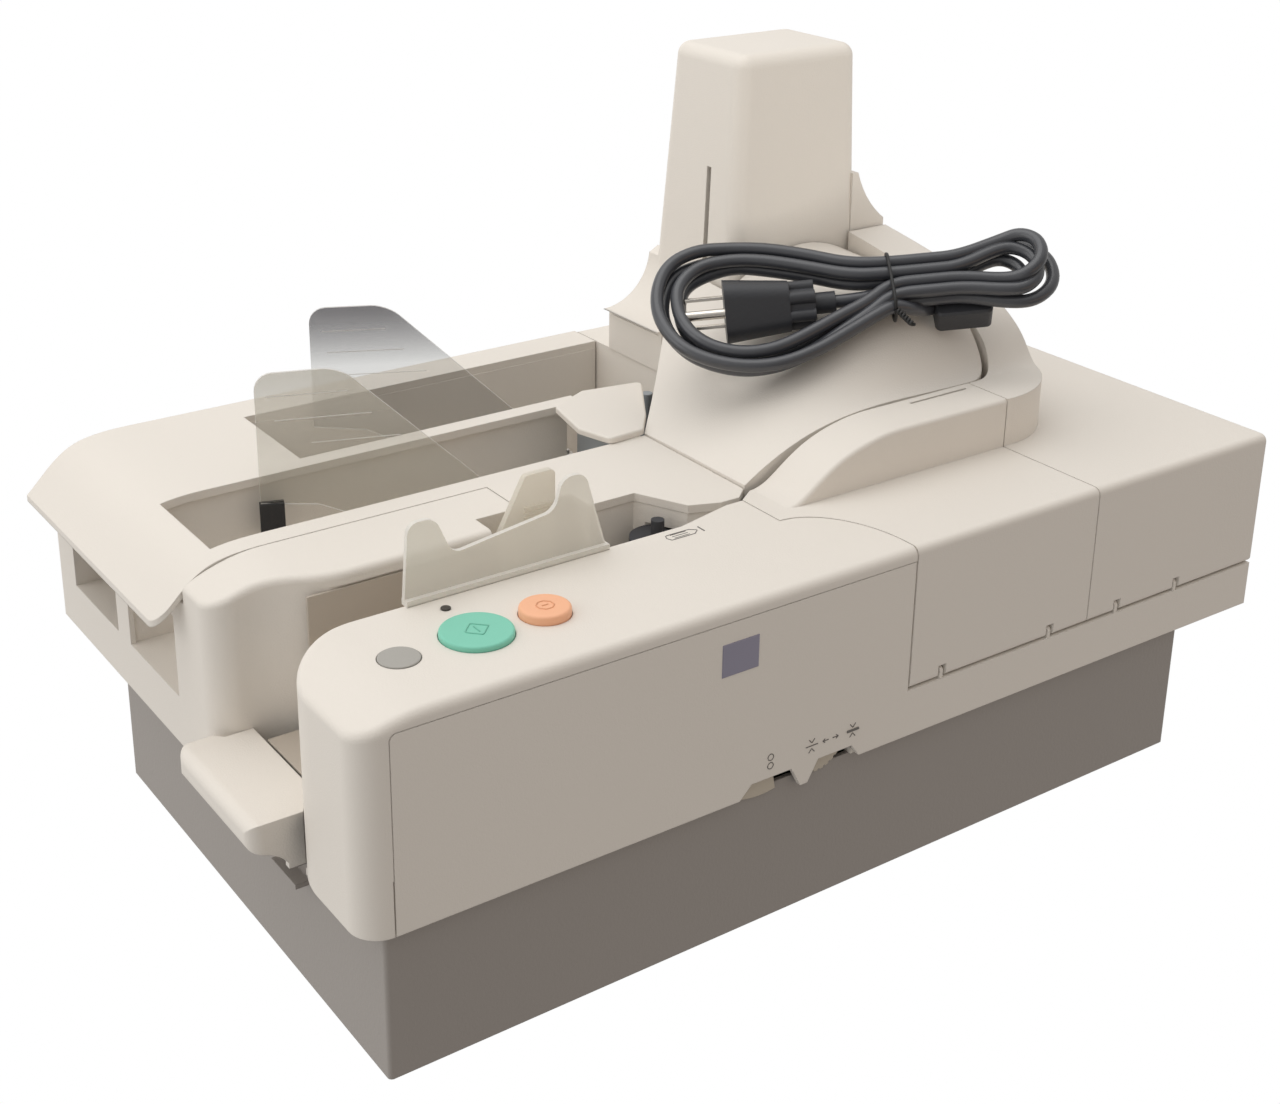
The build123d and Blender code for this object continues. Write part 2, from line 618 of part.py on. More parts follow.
with BuildPart() as operator_foot:
    extrude(operator_outline(0, body_bottom), amount=tray_height)
    extrude(operator_outline(wall, body_bottom + wall), amount=tray_height, mode=Mode.SUBTRACT)
    block((-1, unit_front_radius), (-1, shelf_front + 2.5), (body_bottom, track_z), Mode.INTERSECT)
    block((wall, unit_front_radius + 1), (unit_front_radius, shelf_front + 3), (body_bottom - 1, track_z),
          Mode.SUBTRACT)

with BuildPart() as operator_housing:
    extrude(operator_outline(0, track_z), amount=track_depth)
    extrude(rolled_block(unit_roll_start, deck_z, track_z, -lip_reach, body_length),
            amount=-body_depth, mode=Mode.INTERSECT)
    unit_rims = []
    for edge in operator_housing.edges():
        middle = edge.center()
        seam_line = edge.bounding_box().size.X < 0.1 and abs(middle.X - left_x - unit_roll_start) < 0.2
        if middle.Z > deck_z - 8 and middle.X < left_x + 200 and not seam_line:
            unit_rims.append(edge)
    fillet(unit_rims, 4.0)
    add(operator_hollow.part, mode=Mode.SUBTRACT)
    add(operator_foot.part)
    # opening behind the front plate
    with BuildSketch(face_at(wall + slip)) as plate_opening:
        with Locations(((plate_seam + unit_length + 10) / 2, (track_z - 30 + plate_top_z) / 2)):
            RectangleRounded(unit_length + 10 - plate_seam, plate_top_z - track_z + 30, plate_corner)
        area((unit_length - 40, unit_length + 30), (track_z - 40, plate_top_z))
        area((plate_seam, unit_length + 30), (track_z - 40, track_z + 6))
    extrude(plate_opening.sketch, amount=wall + 2, mode=Mode.SUBTRACT)
    # keys, lamp and roller windows
    for station, radius in ((jog_station, jog_radius), (start_station, start_radius), (stop_station, stop_radius)):
        post(station, button_row, radius + slip, (deck_z - 6, deck_z + 1), Mode.SUBTRACT)
    post(lamp_station, lamp_row, lamp_radius + fit, (deck_z - 6, deck_z + 1), Mode.SUBTRACT)
    for place, radius in ((pick_at, pick_radius), (feed_at, feed_radius)):
        post(place[0], place[1], radius + 0.6, (roller_low - 1, roller_high + 1), Mode.SUBTRACT)
finish(operator_housing.part, "operator_housing")


collar_top = deck_z - wall - 0.2
stem_bottom = 148.0
carrier_top = 153.0


def key(station, radius, stand):
    """Cap, collar and guide stem of a push button."""
    with BuildSketch(plan_at(collar_top)) as cap:
        with Locations((station, button_row)):
            Circle(radius)
    extrude(cap.sketch, amount=deck_z + stand - collar_top)
    post(station, button_row, radius + 1.5, (collar_top - 1.4, collar_top))
    post(station, button_row, shaft_radius, (stem_bottom, collar_top))


with BuildPart() as jog_button:
    key(jog_station, jog_radius, jog_stand)
    fillet(edges_near(jog_button, deck_z + jog_stand, 0.1), 0.4)
finish(jog_button.part, "jog_button")

with BuildPart() as start_button:
    key(start_station, start_radius, start_stand)
    fillet(edges_near(start_button, deck_z + start_stand, 0.1), 1.0)
finish(start_button.part, "start_button")

with BuildPart() as stop_button:
    key(stop_station, stop_radius, stop_stand)
    fillet(edges_near(stop_button, deck_z + stop_stand, 0.1), 1.2)
finish(stop_button.part, "stop_button")

with BuildPart() as button_carrier:
    block((24, stop_station + 30), (wall + 6, lamp_row + 6), (carrier_top - 3, carrier_top))
    for station in (jog_station, start_station, stop_station):
        post(station, button_row, shaft_radius + fit, (carrier_top - 4, carrier_top + 1), Mode.SUBTRACT)
    for row in (wall + 10, lamp_row + 2):
        post(stop_station + 24, row, 3, (carrier_top, deck_z - wall))
        post(start_station - 18, row, 3, (carrier_top, deck_z - wall))
finish(button_carrier.part, "button_carrier")

with BuildPart() as panel_lamp:
    post(lamp_station, lamp_row, lamp_radius, (deck_z - wall - 1, deck_z + 0.6))
    post(lamp_station, lamp_row, lamp_radius + 1, (deck_z - wall - 3, deck_z - wall))
finish(panel_lamp.part, "panel_lamp")

# ---------------------------------------------------------------- front plate with the gap lever and thickness dial
with BuildPart() as front_plate:
    notch_top = body_bottom + finger_notch
    with BuildSketch(face_at(wall)) as plate_shape:
        with Locations((plate_seam + slip + unit_length / 2, (track_z - 30 + plate_top_z - slip) / 2)):
            RectangleRounded(unit_length, plate_top_z - slip - track_z + 30, plate_corner)
        area((unit_length - 40, unit_length - slip), (track_z - 40, plate_top_z - slip))
        area((plate_seam + slip, body_length), (body_bottom - 1, strip_top))
        area((unit_length - slip, body_length + 9), (strip_top, deck_z + 9), Mode.SUBTRACT)
        area((0, body_length + 9), (0, body_bottom), Mode.SUBTRACT)
        # finger notches for the lever and the dial, with a tongue between them
        with BuildLine():
            Polyline((lever_at[0] - 14, body_bottom - 1), (lever_at[0] - 7, notch_top), (dial_at[0] + 17, notch_top),
                     (dial_at[0] + 22, body_bottom - 1), close=True)
        make_face(mode=Mode.SUBTRACT)
        with BuildLine():
            Polyline((lever_at[0] + 13.5, notch_top + 1), (lever_at[0] + 19.2, body_bottom - 3.6),
                     (dial_at[0] - 7, body_bottom - 3.6), (dial_at[0] - 1, notch_top + 1), close=True)
        make_face()
    extrude(plate_shape.sketch, amount=wall)
    # hinge knuckles of the two covers
    for station in front_knuckles + corner_knuckles:
        rod((station, hinge_drop, hinge_z), (station + knuckle_width, hinge_drop, hinge_z), 2.3)
        block((station, station + knuckle_width), (0.4, wall), (strip_top - 3, hinge_z))
        rod((station - 1, hinge_drop, hinge_z), (station + knuckle_width + 1, hinge_drop, hinge_z),
            pin_radius + fit, Mode.SUBTRACT)
    # stub axles for the lever and the dial
    rod((lever_at[0], wall, lever_at[1]), (lever_at[0], control_hub_row + 1, lever_at[1]), 3)
    rod((dial_at[0], wall, dial_at[1]), (dial_at[0], control_hub_row + 1, dial_at[1]), 3)
finish(front_plate.part, "front_plate")

with BuildPart() as gap_lever:
    with BuildSketch(face_at(control_rows[1])) as lever_shape:
        with Locations(lever_at):
            Circle(lever_radius)
        with BuildLine():
            Polyline(lever_at, (lever_at[0] - 19, lever_at[1] - 60), (lever_at[0] + 12, lever_at[1] - 60), close=True)
        make_face(mode=Mode.INTERSECT)
        with Locations(lever_at):
            Circle(7)
    extrude(lever_shape.sketch, amount=control_rows[1] - control_rows[0])
    rod((lever_at[0], control_rows[0], lever_at[1]), (lever_at[0], control_hub_row, lever_at[1]), 7)
    rod((lever_at[0], wall, lever_at[1]), (lever_at[0], control_hub_row + 1, lever_at[1]), 3 + fit, Mode.SUBTRACT)
finish(gap_lever.part, "gap_lever")

with BuildPart() as thickness_dial:
    with BuildSketch(face_at(control_rows[1])) as dial_shape:
        with Locations(dial_at):
            Circle(dial_radius)
            with PolarLocations(dial_radius, 30):
                Circle(0.7, mode=Mode.SUBTRACT)
    extrude(dial_shape.sketch, amount=control_rows[1] - control_rows[0])
    rod((dial_at[0], control_rows[0], dial_at[1]), (dial_at[0], control_hub_row, dial_at[1]), 8)
    rod((dial_at[0], wall, dial_at[1]), (dial_at[0], control_hub_row + 1, dial_at[1]), 3 + fit, Mode.SUBTRACT)
finish(thickness_dial.part, "thickness_dial")

# ---------------------------------------------------------------- pusher
pusher_rows = (wall_row + 0.6, wall_row + 3.6)
pusher_right = 155.0
pusher_top = deck_z + 21.0
pusher_travel = 28.0
rod_station, rod_heights = 150.5, (112.0, 142.0)
bracket_rows = (130.0, 133.0)

with BuildPart() as pusher_plate:
    slab_front(((notch_start + 4, track_z + 1.6), (pusher_right, track_z + 1.6), (pusher_right, pusher_top),
                (pusher_right - 15, pusher_top), (notch_start + 4, deck_z - 3)), pusher_rows)
    top_corners = [e for e in pusher_plate.edges() if e.center().Z > pusher_top - 1 and e.bounding_box().size.Y > 2]
    fillet(top_corners, 2.5)
    for rib in range(4):
        block((pusher_right - 16, pusher_right - 2), (pusher_rows[0] - 1.2, pusher_rows[0]),
              (deck_z - 1 + 2.2 * rib, deck_z + 2.2 * rib))
    for height in rod_heights:
        rod((rod_station, pusher_rows[1], height), (rod_station, bracket_rows[1] + 28, height), 3)
finish(pusher_plate.part, "pusher_plate")

with BuildPart() as pusher_bracket:
    block((platform_split + 1, 169), bracket_rows, (track_z, skirt_bottom - 2))
    block((platform_split + 1, 169), (bracket_rows[1], bracket_rows[1] + 12), (track_z, track_z + sheet))
    for height in rod_heights:
        rod((rod_station, bracket_rows[0] - 1, height), (rod_station, bracket_rows[1] + 1, height), 3 + fit,
            Mode.SUBTRACT)
finish(pusher_bracket.part, "pusher_bracket")

# ---------------------------------------------------------------- clear guide on the operator unit
guide_left, guide_right = 58.8, 154.0
with BuildPart() as clear_guide:
    with BuildSketch(face_at(unit_depth - 0.4)) as guide_shape:
        with BuildLine():
            Polyline((guide_left, deck_z), (guide_left + 2.5, deck_z + 34), (guide_left + 14.5, deck_z + 34),
                     (guide_left + 22, deck_z + 16.5), (guide_left + 70, deck_z + 23), (guide_left + 73.5, deck_z + 36.5),
                     (guide_left + 84.5, deck_z + 36.5), (guide_right, deck_z), close=True)
        make_face()
        fillet([v for v in guide_shape.vertices() if v.Z > deck_z + 1], 3.2)
    extrude(guide_shape.sketch, amount=2.2)
    block((guide_left, guide_right), (unit_depth - 5, unit_depth - 0.4), (deck_z, deck_z + 2.6))
finish(clear_guide.part, "clear_guide")

# ---------------------------------------------------------------- stacker cover and deck
deck_corner_left, deck_corner_right = 172.0, 208.0     # throat edge of the deck
opening_front, opening_back = pocket_front, divider_row - 2.3
divider_strip_back = pocket_two_row + 0.2
rim_front = pocket_two_back + 0.5
lip_z = track_z + 39.0                                  # underside of the lip's left edge

with BuildPart() as stacker_cover:
    with BuildSketch(face_at(body_depth)) as stacker_profile:
        with BuildLine():
            top_line = Line((deck_end, deck_z), (stacker_roll_start, deck_z))
            top_roll = Spline(top_line @ 1, (25, deck_z - 0.6), (10.6, deck_z - 4), (0.5, deck_z - 11),
                              (-lip_reach, lip_z + 3), tangents=((-1, 0), (-0.75, -0.7)))
            tip = Line(top_roll @ 1, (-lip_reach, lip_z))
            under_roll = Spline(tip @ 1, (-2, deck_z - 16.6), (8, deck_z - 9.5), (24, deck_z - cover_thickness - 0.8),
                                (stacker_roll_start, deck_z - cover_thickness), tangents=((0.75, 0.7), (1, 0)))
            Polyline(under_roll @ 1, (pocket_two_right, deck_z - cover_thickness), (pocket_two_right, deck_z),
                     top_line @ 0)
        make_face()
    extrude(stacker_profile.sketch, amount=body_depth)
    with BuildSketch(plan_at(body_bottom)) as stacker_plan:
        area((-lip_reach, pocket_two_left), (platform_back + seam, body_depth))
        lip_corner = stacker_plan.vertices().group_by(Axis.X)[0].sort_by(Axis.Y)[0]
        fillet(lip_corner, 8.0)
        area((pocket_two_left - 1, pocket_two_right - seam / 2), (rim_front, body_depth))
        area((pocket_one_left, deck_end), (opening_back, divider_strip_back))
        area((0, deck_end), (platform_back + seam, pocket_front))
        with BuildLine():
            Polyline((platform_split + seam, pocket_front), (platform_split + seam, wall_row + notch_depth),
                     (deck_corner_left, wall_row + notch_depth), (deck_corner_left, wall_row - 0.5),
                     (throat_end, wall_row - 0.5), (deck_corner_right, slit_row + 7), (222, slit_row + 1.7),
                     (232, slit_row + 1.7), (deck_end - 0.5, slit_row + 7.7), (deck_end, slit_row + 10),
                     (deck_end, pocket_front), close=True)
        make_face()
        area((pocket_one_left, deck_end + 1), (opening_front, opening_back), Mode.SUBTRACT)
    extrude(stacker_plan.sketch, amount=deck_z - body_bottom + 1, mode=Mode.INTERSECT)
finish(stacker_cover.part, "stacker_cover")

with BuildPart() as gate_cover:
    with BuildSketch(plan_at(deck_z + 0.3)) as gate_plan:
        with BuildLine():
            Polyline((243, 225), (276.5, 219.5), (251.5, 180.5), (239.3, 165.5), (219, 164), (213.6, 183), (220, 213.5),
                     close=True)
        make_face()
        fillet(gate_plan.vertices(), 3)
    extrude(gate_plan.sketch, amount=3)
    fillet(edges_near(gate_cover, deck_z + 3.3, 0.1), 1)
finish(gate_cover.part, "gate_cover")

with BuildPart() as deflector_panel:
    slab_plan(((224, 168), (226, 168), (237.5, 217), (235.5, 217)), (track_z, deck_z - 1))
finish(deflector_panel.part, "deflector_panel")

with BuildPart() as sorter_gate:
    post(gate_station, gate_row, gate_post, (track_z - 8, skirt_bottom - 4))
    slab_plan(((gate_station, gate_row - 2.6), (gate_tip, gate_row - 2.2), (gate_tip, gate_row - 1.2),
               (gate_station, gate_row + 2.6)), (track_z + 4, skirt_bottom - 8))
finish(sorter_gate.part, "sorter_gate")

with BuildPart() as deck_guide:
    # wall along the throat, under the edge of the deck
    slab_plan(((platform_split + 3, wall_row + notch_depth + 1), (deck_corner_left + 1, wall_row + notch_depth + 1),
               (deck_corner_left + 1, wall_row), (throat_end, wall_row), (deck_corner_right, slit_row + 7.5),
               (222, slit_row + 2.2), (232, slit_row + 2.2), (238, slit_row + 8), (238, slit_row + 10),
               (231, slit_row + 4.2), (222.5, slit_row + 4.2), (deck_corner_right + 1.5, slit_row + 9.3),
               (throat_end + 1.2, wall_row + 2), (deck_corner_left + 3, wall_row + 2),
               (deck_corner_left + 3, wall_row + notch_depth + 3), (platform_split + 3, wall_row + notch_depth + 3)),
              (track_z, skirt_bottom))
    block((rod_station - 6, rod_station + 6), (wall_row + notch_depth, wall_row + notch_depth + 4),
          (track_z + 8, rod_heights[1] + 6), Mode.SUBTRACT)
    post(retard_at[0], retard_at[1], retard_radius + 1, (track_z + 5, deck_z - 13), Mode.SUBTRACT)
finish(deck_guide.part, "deck_guide")


def along(hinge, tip):
    """Upright plane through a hinge pin: x runs to the free end, y is the height."""
    direction = Vector(tip[0] - hinge[0], tip[1] - hinge[1], 0).normalized()
    return Plane(origin=(left_x + hinge[0], front_y + hinge[1], 0), x_dir=direction,
                 z_dir=direction.cross(Vector(0, 0, 1)))


def pocket_plate(hinge, tip, reach):
    """A clear plate that swings on an upright pin, with a long sloping top."""
    plate_z = deck_z + plate_top
    with BuildSketch(along(hinge, tip).offset(-plate_thickness / 2)) as shape:
        with BuildLine():
            Polyline((2.4, track_z + 6), (2.4, plate_z - 82), (reach - 102, plate_z - 61), (reach - 38, plate_z),
                     (reach, plate_z), (reach, deck_z - 11), (reach - 26, deck_z - 14), (2.4, track_z + 6))
        make_face()
        tops = [v for v in shape.vertices() if v.Z > plate_z - 0.1]
        fillet(tops, 4)
    extrude(shape.sketch, amount=plate_thickness)
    post(hinge[0], hinge[1], 3, (track_z + slip, plate_z - 84))
    post(hinge[0], hinge[1], plate_pin + fit, (track_z - 1, plate_z - 80), Mode.SUBTRACT)


plate_one_tip, plate_two_tip = (63.7, 215.3), (125.7, 286.0)
with BuildPart() as pocket_plate_one:
    pocket_plate(plate_one_hinge, plate_one_tip, plate_reach)
finish(pocket_plate_one.part, "pocket_plate_one")

with BuildPart() as pocket_plate_two:
    pocket_plate(plate_two_hinge, plate_two_tip, plate_reach - 7)
finish(pocket_plate_two.part, "pocket_plate_two")

with BuildPart() as plate_clip:
    clip_plane = along(plate_one_hinge, plate_one_tip)
    with BuildSketch(clip_plane.offset(-plate_thickness / 2 - 1.5)) as clip_shape:
        with Locations((plate_reach - 5, deck_z - 19)):
            Rectangle(11, 16)
    extrude(clip_shape.sketch, amount=plate_thickness + 3)
    with BuildSketch(clip_plane.offset(-plate_thickness / 2)) as clip_slot:
        with Locations((plate_reach - 5, deck_z - 6)):
            Rectangle(12, 16)
    extrude(clip_slot.sketch, amount=plate_thickness, mode=Mode.SUBTRACT)
finish(plate_clip.part, "plate_clip")

with BuildPart() as plate_pins:
    for station, row in (plate_one_hinge, plate_two_hinge):
        post(station, row, plate_pin, (track_z, deck_z + plate_top - 82))
finish(plate_pins.part, "plate_pins")

# ---------------------------------------------------------------- front cover
cover_left = unit_length + seam
guide_row = path_row - path_gap / 2        # the covers' face of the document line
guide_thickness = 2.5
ridge_start = 242.0
idler_row = path_row - path_gap / 2 - 7.0
idler_radius = 7.6
slot_left, slot_right = 331.0, 367.0


def front_cover_plan(inset, height):
    """Plan of the front cover, or of its hollow."""
    left, right, back = unit_right + seam + inset, cover_split - seam / 2 - inset, guide_row - inset
    with BuildSketch(plan_at(height)) as plan:
        with BuildLine():
            Polyline((left, step_depth + seam + inset), (left, unit_back_corner[1] + seam), (left + 9, back),
                     (right, back), (right, inset), (cover_left + inset, inset), (cover_left + inset, step_foot))
            EllipticalCenterArc((left, step_foot), cover_left + inset - left, step_depth - step_foot + seam + inset,
                                start_angle=0, arc_size=90)
        make_face()
    return plan.sketch


def ridge_profile(drop):
    """Front view of everything under the top of the ridge."""
    with BuildSketch(face_at(0)) as body:
        with BuildLine():
            rise = Spline((ridge_start, deck_z - drop), (257, deck_z + 7.5 - drop), (273, deck_z + 17 - drop),
                          (292, deck_z + 22.5 - drop), (312, ridge_z - drop), tangents=((1, 0.15), (1, 0)))
            Polyline(rise @ 1, (body_length, ridge_z - drop), (body_length, 0), (0, 0), (0, deck_z - drop),
                     rise @ 0)
        make_face()
    return body.sketch


def hinge_roll(left, right, notches):
    """The rolled lower edge of a cover, cut away at the knuckles of the front plate."""
    rod((left, hinge_drop, hinge_z), (right, hinge_drop, hinge_z), hinge_drop)
    block((left, right), (0, wall), (hinge_z, hinge_z + 6))
    rod((left - 1, hinge_drop, hinge_z), (right + 1, hinge_drop, hinge_z), pin_radius + fit, Mode.SUBTRACT)
    for station in notches:
        block((station - slip - 1, station + knuckle_width + slip + 1), (-1, 2 * hinge_drop + 1),
              (cover_bottom - 1, hinge_z + 3.6), Mode.SUBTRACT)


with BuildPart() as ridge_hollow:
    extrude(front_cover_plan(wall, track_z), amount=tower_rise)
    block((0, body_length), (ridge_row + wall, body_depth), (track_z, tower_z), Mode.INTERSECT)
    extrude(ridge_profile(wall), amount=-body_depth, mode=Mode.INTERSECT)

with BuildPart() as front_cover_form:
    extrude(front_cover_plan(0, track_z + 6), amount=track_depth - 6 + ridge_rise)
    block((0, body_length), (ridge_row, body_depth), (track_z, ridge_z + 1), Mode.INTERSECT)
    extrude(ridge_profile(0), amount=-body_depth, mode=Mode.INTERSECT)
    extrude(front_cover_plan(0, track_z + 6), amount=track_depth - 6)

with BuildPart() as unit_edge:
    extrude(operator_outline(-seam / 2, deck_z - 20), amount=20)
    block((unit_right - 5, cover_left), (step_foot - 6, unit_depth + 9), (deck_z - 21, deck_z + 1), Mode.INTERSECT)

with BuildPart() as front_cover:
    add(front_cover_form.part)
    front_rim = [e for e in front_cover.edges()
                 if abs(e.center().Y - front_y) < 0.1 and abs(e.center().Z - deck_z) < 0.1]
    fillet(front_rim, 3.5)
    ridge_rim = [e for e in front_cover.edges()
                 if abs(e.center().Y - front_y - ridge_row) < 0.2 and e.center().Z > deck_z + 2
                 and e.bounding_box().size.X > 3]
    fillet(ridge_rim, 2.0)
    # hollow: below the deck, and up into the ridge
    extrude(front_cover_plan(wall, track_z), amount=track_depth - wall, mode=Mode.SUBTRACT)
    add(ridge_hollow.part, mode=Mode.SUBTRACT)
    # behind the operator unit only the top remains, bevelled below so that it swings up past the unit
    block((0, cover_left), (0, body_depth), (track_z, deck_z - wall), Mode.SUBTRACT)
    for turn in (1, 2, 3.5, 5.5, 8, 11, 15, 20, 26):
        add(unit_edge.part.rotate(Axis((0, front_y + hinge_drop, hinge_z), (1, 0, 0)), -turn), mode=Mode.SUBTRACT)
    hinge_roll(cover_left, cover_split - seam / 2, front_knuckles)
    # tall-document slot along the ridge, and the idler's window and carriers
    block((slot_left, slot_right), (slit_row - 0.4, slit_row + 1.0), (ridge_z - 4, ridge_z + 1), Mode.SUBTRACT)
    for bottom in (roller_low - 8, deck_z - 12):
        block((drive_at[0] - 9, drive_at[0] + 9), (idler_row - 6, guide_row - 1), (bottom, bottom + 3))
    block((drive_at[0] - 8.6, drive_at[0] + 8.6), (guide_row - wall - 1, guide_row + 1),
          (roller_low - 5, deck_z - 12), Mode.SUBTRACT)
    post(drive_at[0], idler_row, 1.5 + fit, (roller_low - 9, deck_z - 8), Mode.SUBTRACT)
finish(front_cover.part, "front_cover")

with BuildPart() as cover_idler:
    post(drive_at[0], idler_row, idler_radius, (roller_low, deck_z - 14))
    post(drive_at[0], idler_row, 1.5, (roller_low - 8, deck_z - 9))
finish(cover_idler.part, "cover_idler")

# ---------------------------------------------------------------- corner cover
corner_left = cover_split + seam / 2
line_radius_out = turn_radius + path_gap / 2
rim_radius = turn_station - front_drum_at[0] + rim_width + 1.3
inner_station = front_drum_at[0] + line_radius_out
corner_back = tower_front - seam


def rim_plan(inset, height):
    """Plan of the rim that follows the document line round the corner."""
    outer, inner = rim_radius - inset, line_radius_out + inset
    centre = front_drum_at
    with BuildSketch(plan_at(height)) as plan:
        with BuildLine():
            Line((corner_left + inset, centre[1] - outer), (centre[0], centre[1] - outer))
            CenterArc(centre, outer, 270, 90)
            Polyline((centre[0] + outer, centre[1]), (centre[0] + outer, corner_back - inset),
                     (centre[0] + inner, corner_back - inset), (centre[0] + inner, centre[1]))
            CenterArc(centre, inner, 0, -90)
            Polyline((centre[0], centre[1] - inner), (corner_left + inset, centre[1] - inner),
                     (corner_left + inset, centre[1] - outer))
        make_face()
    return plan.sketch


def corner_plan(inset, height):
    """Plan of the whole corner cover."""
    inner = line_radius_out + inset
    centre = front_drum_at
    with BuildSketch(plan_at(height)) as plan:
        with BuildLine():
            Polyline((centre[0], centre[1] - inner), (corner_left + inset, centre[1] - inner),
                     (corner_left + inset, inset), (body_length - inset, inset),
                     (body_length - inset, corner_back - inset), (centre[0] + inner, corner_back - inset),
                     (centre[0] + inner, centre[1]))
            CenterArc(centre, inner, 0, -90)
        make_face()
    return plan.sketch


def rim_rise(drop):
    """Side view of everything under the rim, which climbs to the back."""
    with BuildSketch(side_at(0)) as body:
        with BuildLine():
            climb = Spline((guide_row, ridge_z - drop), (97, ridge_z + 8 - drop), (113, ridge_z + 21 - drop),
                           (160, ridge_z + 36 - drop), (body_depth, ridge_z + 56 - drop), tangents=((1, 0.2), (1, 0.1)))
            Polyline(climb @ 1, (body_depth, 0), (0, 0), (0, ridge_z - drop), climb @ 0)
        make_face()
    return body.sketch


with BuildPart() as rim_form:
    extrude(rim_plan(0, track_z + 6), amount=tower_rise)
    extrude(rim_rise(0), amount=body_length, mode=Mode.INTERSECT)

with BuildPart() as rim_hollow:
    extrude(rim_plan(wall, track_z), amount=tower_rise)
    extrude(rim_rise(wall), amount=body_length, mode=Mode.INTERSECT)

with BuildPart() as corner_cover:
    extrude(corner_plan(0, track_z + 6), amount=track_depth - 6)
    add(rim_form.part)
    corner_rim = [e for e in corner_cover.edges()
                  if abs(e.center().Z - deck_z) < 0.1 and (e.center().Y < front_y + 0.1)]
    fillet(corner_rim, 3.5)
    extrude(corner_plan(wall, track_z), amount=track_depth - wall, mode=Mode.SUBTRACT)
    add(rim_hollow.part, mode=Mode.SUBTRACT)
    hinge_roll(corner_left, body_length, corner_knuckles)
    block((body_length - wall, body_length), (hinge_drop + 1, corner_back), (cover_bottom, track_z + 6))
finish(corner_cover.part, "corner_cover")

with BuildPart() as hinge_pins:
    rod((cover_left + 1, hinge_drop, hinge_z), (cover_split - 1, hinge_drop, hinge_z), pin_radius)
    rod((cover_split + 1, hinge_drop, hinge_z), (body_length - 2, hinge_drop, hinge_z), pin_radius)
finish(hinge_pins.part, "hinge_pins")

# ---------------------------------------------------------------- island cover inside the loop of the document line
island_front = path_row + path_gap / 2
island_right = turn_station - path_gap / 2
island_back = back_row - path_gap / 2
island_left = deck_end + seam
island_corner = turn_radius - path_gap / 2
island_low_left = pocket_front + 1.0


def island_plan(inset, height):
    left, front, right, back = island_left + inset, island_front + inset, island_right - inset, island_back - inset
    tower_edge, tower_row = tower_left - 2 - inset, tower_front - inset
    corner = island_corner - inset
    with BuildSketch(plan_at(height)) as plan:
        with BuildLine():
            Line((left, front), (right - corner, front))
            CenterArc((right - corner, front + corner), corner, 270, 90)
            Polyline((right, front + corner), (right, tower_row), (tower_edge, tower_row), (tower_edge, back),
                     (296.5, back), (left, island_low_left), (left, front))
        make_face()
    return plan.sketch


def island_section(station, heights, drop):
    """Side view of the island at one station: heights at four rows from front to back."""
    with BuildSketch(side_at(station)) as cut:
        with BuildLine():
            top = Spline((80, heights[0] - drop), (island_front, heights[0] - drop), (113, heights[1] - drop),
                         (160, heights[2] - drop), (island_back, heights[3] - drop), (235, heights[3] + 1.5 - drop))
            Polyline(top @ 1, (235, deck_z - 12), (80, deck_z - 12), top @ 0)
        make_face()
    return cut.sketch


# station, then the rise above the deck at the four rows
island_rises = ((238, (0.1, 0.1, 0.1, 0.1)), (275, (17.5, 20, 20, 18)), (318, (23.5, 40, 48, 50)),
                (398, (23.5, 45, 56, 59)))

with BuildPart() as island_hollow:
    for station, rises in island_rises:
        add(island_section(station, [deck_z + rise for rise in rises], wall))
    loft()
    extrude(island_plan(wall, track_z), amount=tower_rise, mode=Mode.INTERSECT)

with BuildPart() as island_cover:
    for station, rises in island_rises:
        add(island_section(station, [deck_z + rise for rise in rises], 0))
    loft()
    extrude(island_plan(0, track_z), amount=tower_rise, mode=Mode.INTERSECT)
    block((0, body_length), (0, body_depth), (skirt_bottom - 1, tower_z), Mode.INTERSECT)
    add(island_hollow.part, mode=Mode.SUBTRACT)
finish(island_cover.part, "island_cover")

sensor_rows = (140.0, 164.0)
head_stations = (300.0, 314.0)

with BuildPart() as island_guide:
    # inner wall of the document line, from the front run round the right end to the rear run
    turn_in, turn_thick = island_corner, island_corner - 2.2
    with BuildSketch(plan_at(track_z)) as guide_plan:
        with BuildLine():
            Line((island_left, island_front), (front_drum_at[0], island_front))
            CenterArc(front_drum_at, turn_in, 270, 90)
            Line((island_right, front_drum_at[1]), (island_right, rear_drum_at[1]))
            CenterArc(rear_drum_at, turn_in, 0, 90)
            Polyline((rear_drum_at[0], island_back), (gate_tip + 9, island_back), (gate_tip + 9, island_back - 2.2),
                     (rear_drum_at[0], island_back - 2.2))
            CenterArc(rear_drum_at, turn_thick, 90, -90)
            Line((island_right - 2.2, rear_drum_at[1]), (island_right - 2.2, front_drum_at[1]))
            CenterArc(front_drum_at, turn_thick, 0, -90)
            Polyline((front_drum_at[0], island_front + 2.2), (island_left, island_front + 2.2),
                     (island_left, island_front))
        make_face()
    extrude(guide_plan.sketch, amount=skirt_bottom - 1.5 - track_z)
    for place, radius in ((drive_at, drive_radius), (front_drum_at, drum_radius), (rear_drum_at, drum_radius)):
        post(place[0], place[1], radius + 0.6, (track_z + 5, deck_z - 10), Mode.SUBTRACT)
    block((head_stations[0] - 1, head_stations[1] + 1), (island_front - 1, island_front + 4),
          (track_z + 3, track_z + 21), Mode.SUBTRACT)
    block((island_right - 4, island_right + 1), (sensor_rows[0] - 1, sensor_rows[1] + 1),
          (track_z + 3, skirt_bottom - 4), Mode.SUBTRACT)
finish(island_guide.part, "island_guide")

